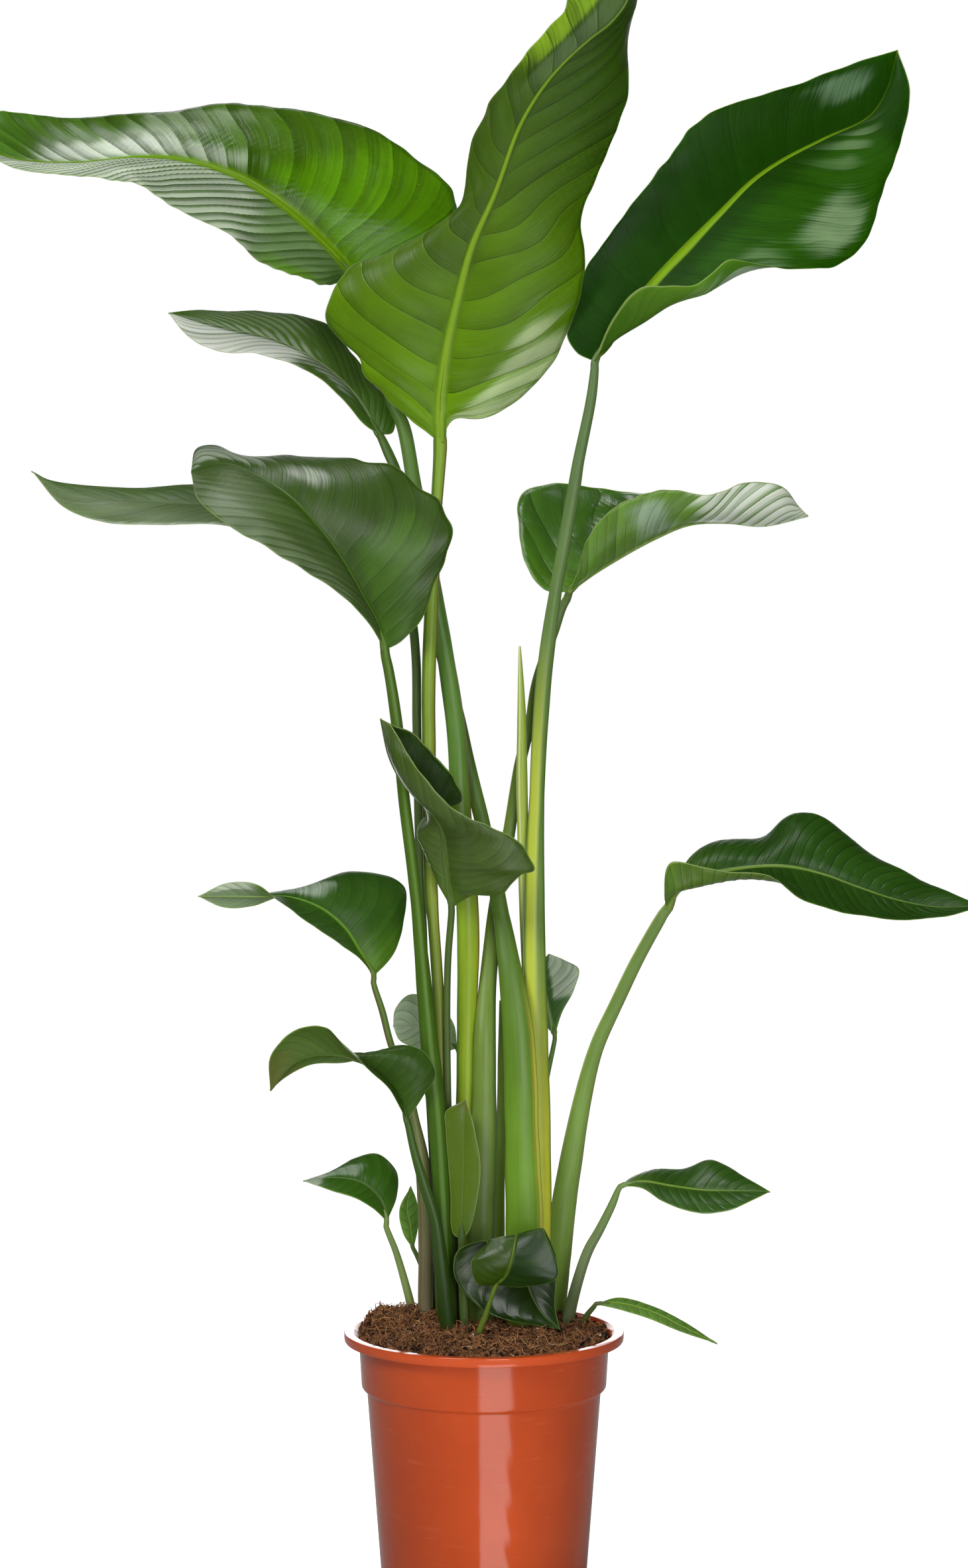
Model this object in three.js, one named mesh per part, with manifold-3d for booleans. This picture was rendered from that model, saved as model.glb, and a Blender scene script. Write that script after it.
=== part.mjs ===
// A potted bird of paradise: a clump of paddle-shaped leaves on long stalks, standing in the peat of a plain
// plastic nursery pot. Millimetres, +Z up, origin in the middle of the pot's foot. +X is to the right of the
// front view and +Y leads away from it.
import * as THREE from 'three';
import { mergeVertices } from 'three/addons/utils/BufferGeometryUtils.js';
import Module from 'manifold-3d';

const wasm = await Module();
wasm.setup();

// Clearances between pieces that touch
const GAP = 0.3;
const TRIM_CLEARANCE = 0.25;
const HOLE_CLEARANCE = 0.35;

// Pot
const POT_HEIGHT = 230;
const RIM_RADIUS = 120;
const RIM_INNER_RADIUS = 112;
const RIM_TALL = 8;
const RIM_ROUNDING = 1.5;
const BAND_RADIUS = 107.4;
const BAND_FOOT_RADIUS = 105;
const LEDGE_HEIGHT = 181;
const LEDGE_RADIUS = 100.5;
const BASE_RADIUS = 86.4;
const WALL = 2;
const FLOOR = 2.5;
const CHAMFER = 1;
const POT_SEGMENTS = 32;
const DRAIN_RADIUS = 6;
const DRAIN_RING_RADIUS = 58;
const DRAIN_COUNT = 6;
const DRAIN_SEGMENTS = 12;

// Peat. Its gap to the wall also covers the flats of both round bodies.
const PEAT_WALL_GAP = 0.5;
const PEAT_RIM_GAP = 3;
const PEAT_EDGE_HEIGHT = 226;
const PEAT_DOME = 4;
const PEAT_MOUND = 5;
const PEAT_MOUND_PLACE = [-78, 40];
const PEAT_MOUND_RADIUS = 45;
const PEAT_RIPPLE = 1.2;
const PEAT_RIPPLE_LENGTHS = [9, 7];
const PEAT_RINGS = 6;
const PEAT_SEGMENTS = 28;

// Stalks stand this deep in the peat, their feet draw together by this share, and none is thinner than this
const STALK_ROOT = 42;
const ROOT_LEAN = 0.88;
const STALK_MIN_HALF_DEPTH = 2;

// Blades
const BLADE_THICK = 1.1;
const RIB_START_DEPTH = 4.2;
const RIB_END_DEPTH = 0.5;
const RIB_START_HALF = 3.2;
const RIB_END_HALF = 0.9;
const TIP_HALF = 0.8;
const RIB_MAX_SHARE = 0.3;

// Colours
const GREENS = {
  dark: 0x1f4a12,
  mid: 0x3b6622,
  grey: 0x45603a,
  bright: 0x6f9a1e,
  stalk: 0x55803a,
  sheath: 0x7fa636,
  olive: 0x6d7a34,
};
const POT_COLOUR = 0xc0492a;
const PEAT_COLOUR = 0x3d2519;

// Every shoot, drawn by points from its foot to its tip: the middle line of its stalk, with the stalk's width
// in the front view there and the share of that width front to back, and the rib and both edges of its blade.
// Left and right are as seen on the blade's upper face with its tip up. A knee is a line halfway between rib
// and edge where a blade rolls over, and elsewhere cup bows each half by that share of its width.
const SHOOTS = {
  top_left: {
    size: 'big',
    stalkGreen: 'stalk',
    line: [
      [-17, 44, 227], [-17, 44, 340], [-16, 45, 420], [-15, 46, 487], [-14, 42, 578], [-21, 40, 687],
      [-24, 42, 742], [-33, 44, 805], [-46, 48, 880], [-61, 54, 960], [-71, 58, 1014], [-80, 60, 1034],
      [-95, 66, 1087], [-112, 70, 1143],
    ],
    widths: [15, 16, 17, 17, 20, 18, 17, 15, 14, 13, 12, 11, 9, 8],
    depth: 0.7,
    bladeGreen: 'mid',
    rib: [
      [-114, 71, 1148], [-141, 66, 1176], [-181, 58, 1210], [-221, 50, 1233], [-261, 42, 1244],
      [-300, 34, 1245], [-357, 24, 1238], [-407, 16, 1240], [-450, 8, 1254],
    ],
    left: [
      [-114, 71, 1148], [-127, 60, 1141], [-139, 46, 1136], [-158, 30, 1139], [-189, 10, 1149],
      [-229, -8, 1175], [-271, -15, 1196], [-312, -10, 1217], [-359, 0, 1223], [-405, 6, 1230],
      [-450, 8, 1254],
    ],
    right: [
      [-114, 71, 1148], [-94, 70, 1143], [-65, 74, 1162], [-27, 84, 1199], [-27, 92, 1227],
      [-74, 106, 1272], [-130, 112, 1298], [-185, 112, 1307], [-256, 104, 1307], [-321, 86, 1296],
      [-373, 64, 1287], [-422, 36, 1283], [-450, 8, 1254],
    ],
    cup: [0.1, 0.06],
  },
  top_centre: {
    size: 'big',
    stalkGreen: 'olive',
    line: [
      [-36, 30, 233], [-37, 29, 400], [-38, 28, 484], [-44, 27, 579], [-46, 27, 603], [-48, 25, 747],
      [-48, 25, 793], [-46, 25, 845], [-41, 25, 944], [-38, 22, 990],
    ],
    widths: [12, 12, 10, 10, 12, 12, 12, 12, 10, 12],
    depth: 0.8,
    bladeGreen: 'bright',
    rib: [
      [-38, 21, 995], [-37, 14, 1033], [-31, 2, 1077], [-22, -14, 1114], [-10, -34, 1155], [9, -56, 1195],
      [30, -86, 1245], [48, -104, 1271], [65, -118, 1288], [86, -132, 1304], [104, -142, 1316],
      [116, -148, 1333], [115, -152, 1363],
    ],
    left: [
      [-38, 21, 995], [-26, 14, 1014], [1, 8, 1014], [40, 4, 1038], [73, -2, 1087], [85, -14, 1136],
      [84, -32, 1184], [105, -58, 1229], [118, -80, 1267], [120, -96, 1296], [121, -108, 1320],
      [125, -118, 1339], [124, -130, 1352], [115, -152, 1363],
    ],
    right: [
      [-38, 21, 995], [-49, 18, 1003], [-74, 18, 1023], [-109, 14, 1064], [-134, 10, 1101], [-121, 0, 1136],
      [-62, -18, 1164], [-24, -34, 1188], [-10, -60, 1239], [17, -90, 1279], [46, -122, 1306],
      [71, -150, 1333], [93, -160, 1354], [115, -152, 1363],
    ],
    cup: [-0.1, -0.1],
  },
  top_right: {
    size: 'big',
    stalkGreen: 'stalk',
    line: [
      [48, 38, 231], [49, 37, 304], [48, 36, 392], [45, 33, 489], [44, 30, 605], [46, 26, 689],
      [50, 21, 769], [56, 16, 825], [62, 11, 866], [69, 6, 907], [78, 1, 956], [81, 0, 975], [92, -5, 1030],
      [95, -6, 1057],
    ],
    widths: [20, 20, 21, 21, 18, 13, 14, 13, 11, 11, 11, 10, 9, 7],
    depth: 0.6,
    bladeGreen: 'dark',
    rib: [
      [95, -6, 1061], [114, -4, 1093], [145, 2, 1131], [175, 12, 1164], [204, 22, 1194], [234, 34, 1225],
      [262, 46, 1246], [300, 60, 1268], [342, 74, 1291], [360, 84, 1320], [369, 90, 1354],
    ],
    left: [
      [95, -6, 1061], [79, -2, 1070], [72, 4, 1086], [81, 16, 1131], [113, 30, 1185], [151, 44, 1233],
      [181, 56, 1277], [211, 66, 1298], [253, 76, 1312], [307, 86, 1334], [346, 90, 1347], [369, 90, 1354],
    ],
    right: [
      [95, -6, 1061], [104, -18, 1085], [116, -32, 1104], [132, -42, 1118], [154, -46, 1119],
      [179, -44, 1121], [208, -40, 1142], [245, -32, 1136], [294, -18, 1140], [325, 2, 1161],
      [346, 26, 1213], [366, 48, 1264], [377, 70, 1313], [369, 90, 1354],
    ],
    right_knee: [
      [95, -6, 1061], [111, -16, 1077], [135, -24, 1091], [158, -28, 1105], [189, -26, 1118],
      [227, -18, 1141], [274, 0, 1173], [314, 24, 1213], [346, 48, 1264], [366, 74, 1317], [369, 90, 1354],
    ],
    cup: [0.06, 0],
  },
  mid_left_back: {
    size: 'medium',
    stalkGreen: 'sheath',
    line: [
      [35, 9, 234], [35, 9, 317], [33, 10, 388], [30, 15, 480], [24, 21, 528], [15, 33, 585], [0, 46, 659],
      [-13, 54, 712], [-25, 61, 766], [-44, 72, 841], [-65, 86, 925], [-78, 95, 977], [-86, 98, 996],
      [-93, 100, 1011],
    ],
    widths: [31, 33, 30, 28, 22, 14, 13, 13, 12, 11, 9, 9, 9, 7],
    depth: 0.45,
    bladeGreen: 'grey',
    rib: [
      [-94, 100, 1012], [-104, 99, 1030], [-118, 96, 1050], [-145, 91, 1074], [-183, 85, 1093],
      [-224, 80, 1103], [-253, 78, 1110], [-280, 76, 1117],
    ],
    left: [
      [-94, 100, 1012], [-107, 92, 1020], [-124, 82, 1039], [-143, 70, 1056], [-173, 60, 1070],
      [-200, 54, 1077], [-235, 54, 1080], [-260, 62, 1093], [-280, 76, 1117],
    ],
    right: [
      [-94, 100, 1012], [-82, 102, 1014], [-83, 108, 1044], [-100, 114, 1059], [-119, 118, 1086],
      [-139, 118, 1111], [-161, 114, 1121], [-196, 106, 1124], [-231, 96, 1123], [-260, 86, 1121],
      [-280, 76, 1117],
    ],
    cup: [0.06, 0.06],
  },
  left_front: {
    size: 'big',
    stalkGreen: 'stalk',
    line: [
      [-31, 14, 230], [-35, 13, 316], [-41, 10, 415], [-45, 9, 453], [-51, 7, 517], [-58, 4, 596],
      [-69, 0, 689], [-75, 0, 751], [-82, 0, 797], [-85, 0, 811],
    ],
    widths: [13, 15, 16, 17, 14, 10, 10, 10, 9, 8],
    depth: 0.7,
    bladeGreen: 'grey',
    rib: [
      [-85, 0, 814], [-92, -5, 839], [-103, -10, 859], [-123, -18, 894], [-143, -22, 920], [-166, -20, 944],
      [-193, -12, 962], [-222, -2, 974], [-253, 10, 968],
    ],
    left: [
      [-85, 0, 814], [-98, -14, 835], [-112, -26, 850], [-136, -42, 870], [-166, -54, 888],
      [-190, -58, 903], [-217, -50, 918], [-241, -30, 938], [-253, 10, 968],
    ],
    right: [
      [-85, 0, 814], [-67, -4, 824], [-51, -10, 843], [-43, -14, 867], [-28, -14, 909], [-33, -8, 929],
      [-51, 0, 951], [-83, 8, 971], [-120, 16, 981], [-167, 24, 986], [-207, 28, 985], [-235, 28, 993],
      [-249, 22, 990], [-253, 10, 968],
    ],
    cup: [0.05, 0.08],
  },
  far_left: {
    size: 'medium',
    stalkGreen: 'dark',
    line: [
      [-41, 58, 230], [-43, 56, 338], [-49, 54, 455], [-54, 50, 572], [-57, 50, 659], [-59, 52, 754],
      [-60, 58, 811], [-65, 68, 850], [-76, 76, 877], [-90, 80, 893],
    ],
    widths: [8, 8, 8, 8, 8, 8, 8, 8, 8, 6],
    depth: 0.9,
    bladeGreen: 'grey',
    rib: [
      [-91, 80, 895], [-118, 82, 921], [-171, 84, 941], [-236, 88, 947], [-292, 92, 950], [-341, 96, 954],
      [-380, 100, 965], [-406, 104, 980],
    ],
    left: [
      [-91, 80, 895], [-123, 66, 901], [-169, 58, 915], [-233, 58, 927], [-289, 66, 928], [-339, 78, 932],
      [-375, 90, 946], [-406, 104, 980],
    ],
    right: [
      [-91, 80, 895], [-98, 96, 931], [-149, 106, 959], [-209, 112, 968], [-266, 114, 969],
      [-316, 112, 966], [-363, 108, 968], [-393, 106, 973], [-406, 104, 980],
    ],
    cup: [0.05, 0.05],
  },
  mid_fold: {
    size: 'medium',
    stalkGreen: 'stalk',
    line: [
      [-24, 27, 230], [-27, 25, 343], [-31, 22, 419], [-32, 18, 509], [-31, 14, 551], [-28, 8, 588],
    ],
    widths: [7, 7, 6, 6, 6, 6],
    depth: 0.9,
    bladeGreen: 'grey',
    rib: [
      [-28, 7, 592], [-31, -10, 626], [-36, -28, 662], [-50, -42, 682], [-67, -50, 699], [-79, -50, 721],
      [-87, -40, 754],
    ],
    left: [
      [-28, 7, 592], [-8, -8, 604], [13, -24, 604], [31, -38, 620], [42, -46, 626], [29, -56, 651],
      [4, -66, 664], [-24, -74, 677], [-45, -78, 699], [-64, -72, 725], [-77, -56, 747], [-87, -40, 754],
    ],
    right: [
      [-28, 7, 592], [-41, 2, 616], [-51, 4, 644], [-55, 9, 664], [-35, 13, 676], [-19, 7, 685],
      [-26, -3, 705], [-43, -14, 724], [-60, -24, 742], [-75, -34, 748], [-87, -40, 754],
    ],
    cup: [-0.18, -0.3],
  },
  right_mid: {
    size: 'medium',
    stalkGreen: 'stalk',
    line: [
      [-2, 28, 233], [-2, 28, 317], [0, 30, 393], [1, 36, 479], [4, 51, 531], [12, 62, 601], [22, 61, 656],
      [32, 59, 718], [40, 57, 749], [46, 55, 789], [62, 53, 834], [69, 52, 855], [74, 51, 864],
    ],
    widths: [22, 23, 22, 19, 15, 13, 11, 10, 9, 8, 8, 8, 7],
    depth: 0.5,
    bladeGreen: 'grey',
    rib: [
      [74, 50, 867], [90, 47, 880], [116, 42, 896], [148, 35, 913], [179, 28, 925], [210, 22, 926],
      [242, 18, 923], [280, 14, 931],
    ],
    left: [
      [74, 50, 867], [52, 62, 871], [36, 72, 895], [31, 80, 921], [32, 88, 956], [60, 92, 967],
      [101, 88, 963], [139, 78, 957], [179, 62, 953], [221, 42, 945], [254, 26, 936], [280, 14, 931],
    ],
    right: [
      [74, 50, 867], [80, 34, 881], [89, 22, 910], [101, 14, 928], [126, 6, 945], [160, 0, 952],
      [194, -6, 947], [224, -10, 957], [256, -4, 954], [271, 8, 939], [280, 14, 931],
    ],
    cup: [-0.15, -0.18],
  },
  small_left_top: {
    size: 'medium',
    stalkGreen: 'grey',
    line: [
      [-51, 40, 230], [-51, 40, 299], [-54, 40, 368], [-61, 40, 405], [-70, 41, 445], [-81, 42, 470],
      [-89, 43, 500], [-97, 44, 527],
    ],
    widths: [12, 13, 13, 9, 7, 6, 6, 5],
    depth: 0.8,
    bladeGreen: 'dark',
    rib: [
      [-96, 44, 531], [-109, 40, 553], [-122, 34, 574], [-142, 27, 591], [-169, 20, 601], [-206, 14, 602],
      [-247, 12, 602],
    ],
    left: [
      [-96, 44, 531], [-109, 30, 548], [-136, 14, 568], [-160, 4, 585], [-178, 0, 599], [-195, 2, 612],
      [-220, 8, 614], [-247, 12, 602],
    ],
    right: [
      [-96, 44, 531], [-79, 50, 549], [-70, 58, 580], [-70, 64, 608], [-93, 66, 619], [-125, 60, 621],
      [-151, 48, 608], [-176, 34, 602], [-201, 22, 593], [-225, 16, 592], [-247, 12, 602],
    ],
    cup: [-0.05, 0.08],
  },
  small_left_mid: {
    size: 'medium',
    stalkGreen: 'dark',
    line: [
      [-31, -6, 232], [-37, -7, 288], [-42, -7, 325], [-52, -5, 357], [-60, -3, 384], [-65, -2, 406],
    ],
    widths: [13, 13, 10, 9, 7, 6],
    depth: 0.6,
    bladeGreen: 'dark',
    rib: [
      [-66, -2, 409], [-72, -6, 430], [-87, -10, 450], [-110, -13, 463], [-136, -16, 468], [-161, -20, 462],
      [-182, -24, 438],
    ],
    left: [
      [-66, -2, 409], [-73, -16, 424], [-83, -26, 441], [-100, -32, 457], [-115, -34, 473],
      [-133, -34, 493], [-157, -32, 493], [-181, -28, 470], [-182, -24, 438],
    ],
    right: [
      [-66, -2, 409], [-53, -6, 430], [-41, -9, 451], [-52, -9, 471], [-75, -6, 474], [-96, -4, 466],
      [-119, -6, 460], [-147, -12, 459], [-169, -20, 449], [-182, -24, 438],
    ],
    cup: [0.05, 0.1],
  },
  small_left_low: {
    size: 'small',
    stalkGreen: 'stalk',
    line: [[-63, 74, 229], [-71, 73, 261], [-78, 71, 285], [-87, 69, 310]],
    widths: [8, 7, 6, 5],
    depth: 0.9,
    bladeGreen: 'dark',
    rib: [[-86, 69, 312], [-93, 66, 333], [-108, 62, 347], [-131, 58, 352], [-159, 54, 350]],
    left: [[-86, 69, 312], [-98, 58, 325], [-113, 50, 335], [-136, 48, 343], [-159, 54, 350]],
    right: [
      [-86, 69, 312], [-77, 76, 335], [-77, 80, 356], [-94, 80, 371], [-116, 74, 368], [-137, 64, 357],
      [-159, 54, 350],
    ],
    cup: [0.05, 0.08],
  },
  right_long: {
    size: 'big',
    stalkGreen: 'stalk',
    line: [
      [65, 72, 231], [67, 68, 284], [71, 63, 331], [77, 57, 370], [86, 50, 421], [98, 44, 467],
      [113, 38, 502], [133, 30, 545], [151, 25, 578], [157, 24, 588],
    ],
    widths: [13, 21, 22, 20, 16, 13, 12, 11, 10, 9],
    depth: 0.5,
    bladeGreen: 'dark',
    rib: [
      [159, 24, 590], [168, 20, 606], [190, 16, 619], [221, 12, 626], [260, 6, 628], [292, 0, 621],
      [319, -6, 611], [352, -12, 600], [385, -18, 594], [424, -26, 595],
    ],
    left: [
      [159, 24, 590], [167, 32, 614], [180, 38, 636], [203, 42, 651], [241, 40, 654], [272, 38, 676],
      [300, 30, 668], [333, 18, 642], [371, 2, 620], [424, -26, 595],
    ],
    right: [
      [159, 24, 590], [155, 6, 609], [158, -8, 630], [170, -16, 631], [203, -24, 623], [239, -32, 621],
      [266, -42, 602], [305, -46, 588], [347, -44, 582], [388, -36, 586], [424, -26, 595],
    ],
    right_knee: [
      [159, 24, 590], [159, 10, 602], [171, 0, 608], [199, -8, 614], [233, -14, 617], [266, -20, 612],
      [300, -24, 602], [339, -26, 591], [378, -26, 589], [424, -26, 595],
    ],
    cup: [0.1, 0],
  },
  small_right_low: {
    size: 'small',
    stalkGreen: 'stalk',
    line: [
      [72, 26, 229], [80, 23, 263], [90, 20, 294], [100, 17, 313], [111, 13, 336], [116, 10, 349],
    ],
    widths: [11, 10, 9, 8, 7, 5],
    depth: 0.8,
    bladeGreen: 'dark',
    rib: [
      [118, 9, 352], [137, 6, 356], [161, 2, 353], [188, -2, 350], [216, -6, 350], [245, -10, 350],
    ],
    left: [
      [118, 9, 352], [128, 18, 359], [147, 24, 365], [170, 24, 364], [200, 20, 373], [223, 6, 362],
      [245, -10, 350],
    ],
    right: [
      [118, 9, 352], [136, -4, 352], [153, -14, 342], [181, -22, 334], [209, -22, 336], [232, -16, 345],
      [245, -10, 350],
    ],
    cup: [0.06, 0.06],
  },
  rim: {
    size: 'small',
    stalkGreen: 'stalk',
    line: [[84, 22, 227], [89, 21, 238], [96, 20, 247]],
    widths: [5, 5, 4],
    depth: 0.8,
    bladeGreen: 'mid',
    rib: [[96, 20, 248], [116, 19, 249], [146, 15, 242], [172, 10, 230], [201, 4, 217]],
    left: [[96, 20, 248], [117, 24, 253], [147, 20, 246], [175, 14, 233], [201, 4, 217]],
    right: [[96, 20, 248], [115, 14, 245], [143, 10, 237], [169, 6, 227], [201, 4, 217]],
    cup: [0.05, 0.05],
  },
  front_low: {
    size: 'big',
    stalkGreen: 'stalk',
    line: [[-4, -30, 233], [1, -31, 247], [5, -32, 260], [8, -33, 269]],
    widths: [6, 5, 4, 4],
    depth: 0.9,
    bladeGreen: 'dark',
    rib: [
      [10, -33, 274], [19, -40, 285], [24, -45, 301], [28, -36, 317], [32, -20, 297], [38, -12, 269],
      [50, -11, 246], [65, -14, 233],
    ],
    left: [
      [10, -33, 274], [34, -40, 274], [62, -48, 284], [50, -38, 323], [61, -20, 299], [62, -12, 275],
      [61, -12, 251], [65, -14, 233],
    ],
    right: [
      [10, -33, 274], [-5, -37, 276], [-11, -42, 296], [3, -34, 311], [-22, -19, 302], [-25, -14, 278],
      [3, -13, 247], [65, -14, 233],
    ],
    cup: [-0.05, -0.05],
    stations: true,
  },
  back_right: {
    size: 'small',
    stalkGreen: 'stalk',
    line: [[37, 92, 230], [42, 90, 333], [52, 84, 417], [63, 80, 473]],
    widths: [6, 6, 5, 4],
    depth: 0.9,
    bladeGreen: 'grey',
    rib: [[63, 80, 475], [59, 82, 494], [55, 84, 514], [52, 84, 534], [58, 82, 548]],
    left: [[63, 80, 475], [49, 84, 491], [42, 88, 511], [43, 88, 533], [58, 82, 548]],
    right: [[63, 80, 475], [69, 78, 495], [80, 76, 517], [84, 76, 535], [71, 80, 543], [58, 82, 548]],
    cup: [0.05, 0.05],
  },
  back_left: {
    size: 'small',
    stalkGreen: 'stalk',
    line: [[-16, 96, 230], [-15, 96, 332], [-16, 94, 416], [-23, 91, 461]],
    widths: [6, 6, 5, 4],
    depth: 0.9,
    bladeGreen: 'grey',
    rib: [[-24, 91, 463], [-38, 90, 474], [-58, 88, 483], [-81, 86, 483]],
    left: [[-24, 91, 463], [-41, 86, 459], [-60, 82, 464], [-75, 82, 471], [-81, 86, 483]],
    right: [
      [-24, 91, 463], [-27, 94, 484], [-44, 94, 505], [-66, 92, 511], [-79, 88, 499], [-81, 86, 483],
    ],
    cup: [0.05, 0.05],
  },
  cut_old: {
    size: 'small',
    stalkGreen: 'stalk',
    line: [[-17, 4, 235], [-18, 4, 266], [-19, 3, 305]],
    widths: [8, 8, 7],
    depth: 0.5,
    bladeGreen: 'stalk',
    rib: [
      [-19, 3, 307], [-19, 3, 318], [-18, 3, 346], [-17, 3, 375], [-17, 3, 401], [-16, 3, 416],
      [-16, 3, 427],
    ],
    left: [
      [-19, 3, 307], [-27, 5, 312], [-29, 7, 346], [-31, 7, 374], [-33, 6, 400], [-33, 5, 417],
      [-16, 3, 427],
    ],
    right: [
      [-19, 3, 307], [-12, 2, 316], [-5, 0, 347], [-3, 0, 372], [-7, 1, 397], [-11, 2, 414], [-16, 3, 427],
    ],
    cup: [0.05, 0.05],
    stations: true,
  },
  back_shoot: {
    size: 'small',
    stalkGreen: 'dark',
    line: [[-45, 82, 231], [-51, 86, 257], [-62, 88, 283]],
    widths: [5, 5, 4],
    depth: 0.9,
    bladeGreen: 'dark',
    rib: [[-63, 88, 284], [-66, 86, 304], [-69, 84, 324], [-65, 84, 341]],
    left: [[-63, 88, 284], [-72, 84, 299], [-75, 80, 322], [-65, 84, 341]],
    right: [[-63, 88, 284], [-59, 90, 304], [-60, 88, 327], [-65, 84, 341]],
    cup: [0.05, 0.05],
  },
  old_middle: {
    size: 'small',
    stalkGreen: 'dark',
    line: [[14, 80, 228], [14, 78, 335], [15, 77, 394], [16, 76, 453], [16, 75, 507]],
    widths: [9, 9, 8, 8, 5],
    depth: 0.8,
  },
  spear: {
    size: 'medium',
    stalkGreen: 'sheath',
    line: [
      [35, 60, 230], [37, 58, 397], [38, 54, 514], [36, 48, 584], [34, 40, 657], [33, 36, 706],
      [33, 33, 755], [32, 31, 791], [31, 30, 819],
    ],
    widths: [7, 8, 9, 10, 10, 10, 8, 5, 2],
    depth: 0.9,
  },
};

// Rows along a blade, places across each half from its edge to its rib, and the steps and sides of a stalk
const FINENESS = {
  big: { rows: 15, across: [1, 0.7, 0.38], steps: 13, sides: 8 },
  medium: { rows: 12, across: [1, 0.55], steps: 11, sides: 8 },
  small: { rows: 8, across: [1, 0.5], steps: 7, sides: 6 },
};

const vector = ([x, y, z]) => new THREE.Vector3(x, y, z);
const mix = (a, b, share) => a + (b - a) * share;

// A smooth line through control points: samples with their distance along it and their knot number
const SAMPLES_PER_SPAN = 16;
function smoothLine(points, first = 0, last = points.length - 1) {
  const curve = new THREE.CatmullRomCurve3(points.map(vector), false, 'centripetal');
  const spans = points.length - 1;
  const samples = [];
  let distance = 0;
  for (let i = first * SAMPLES_PER_SPAN; i <= last * SAMPLES_PER_SPAN; i += 1) {
    const knot = i / SAMPLES_PER_SPAN;
    const point = curve.getPoint(knot / spans);
    if (samples.length) distance += point.distanceTo(samples[samples.length - 1].point);
    samples.push({ point, distance, knot });
  }
  return samples;
}

// The place where a smooth line reaches a distance, or a knot number: its point, direction and knot number
function placeAt(line, value, measure = 'distance') {
  let i = 1;
  while (i < line.length - 1 && line[i][measure] < value) i += 1;
  const [a, b] = [line[i - 1], line[i]];
  const share = (value - a[measure]) / (b[measure] - a[measure]);
  return {
    point: a.point.clone().lerp(b.point, share),
    along: b.point.clone().sub(a.point).normalize(),
    knot: mix(a.knot, b.knot, share),
  };
}
const lengthOf = (line) => line[line.length - 1].distance;

// The place at a share of a line, counted by distance or, where the rails' points face each other, by knots
function placeAtShare(line, share, stations) {
  const measure = stations ? 'knot' : 'distance';
  return placeAt(line, mix(line[0][measure], line[line.length - 1][measure], share), measure);
}

function meshGeometry(points, triangles) {
  const geometry = new THREE.BufferGeometry();
  const numbers = points.flatMap((p) => [p.x, p.y, p.z]);
  geometry.setAttribute('position', new THREE.Float32BufferAttribute(numbers, 3));
  geometry.setIndex(triangles.flat());
  return geometry;
}

// The control points of a stalk with its root, and of its blade's rib above it
function axisPoints({ line, rib = [] }) {
  const [x, y, z] = line[0];
  return [[x * ROOT_LEAN, y * ROOT_LEAN, z - STALK_ROOT], ...line, ...rib];
}

// A stalk: oval sections square to its line, as wide as in the front view. Grown by a clearance, it cuts
// its own hole.
function stalkGeometry(shoot, clearance = 0) {
  const { line, widths, depth, rib } = shoot;
  const { steps, sides } = FINENESS[shoot.size];
  const samples = smoothLine(axisPoints(shoot), 0, rib ? line.length + 1 : line.length);
  const top = lengthOf(samples) - (rib ? GAP : 0);
  const points = [];
  for (let step = 0; step <= steps; step += 1) {
    const { point, along, knot } = placeAt(samples, mix(-clearance, top, step / steps));
    const at = Math.min(Math.max(knot - 1, 0), widths.length - 1);
    const low = Math.min(Math.floor(at), widths.length - 2);
    const half = mix(widths[low], widths[low + 1], at - low) / 2 + clearance;
    const across = new THREE.Vector3(0, 1, 0).cross(along).normalize();
    const back = along.clone().cross(across);
    for (let side = 0; side < sides; side += 1) {
      const angle = side * 2 * Math.PI / sides;
      points.push(point.clone()
        .addScaledVector(across, half * Math.cos(angle))
        .addScaledVector(back, Math.max(half * depth, STALK_MIN_HALF_DEPTH) * Math.sin(angle)));
    }
  }
  const triangles = [];
  for (let step = 0; step < steps; step += 1) {
    for (let side = 0; side < sides; side += 1) {
      const a = step * sides + side;
      const b = step * sides + (side + 1) % sides;
      triangles.push([a, b, a + sides], [b, b + sides, a + sides]);
    }
  }
  const last = steps * sides;
  for (let side = 1; side < sides - 1; side += 1) {
    triangles.push([0, side + 1, side], [last, last + side, last + side + 1]);
  }
  return meshGeometry(points, triangles);
}

// A point of one half's section, which runs from the rib through the knee to the edge
function halfSection(rib, knee, edge, share) {
  return rib.clone().multiplyScalar((1 - share) * (1 - 2 * share))
    .addScaledVector(knee, 4 * share * (1 - share))
    .addScaledVector(edge, share * (2 * share - 1));
}

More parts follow.
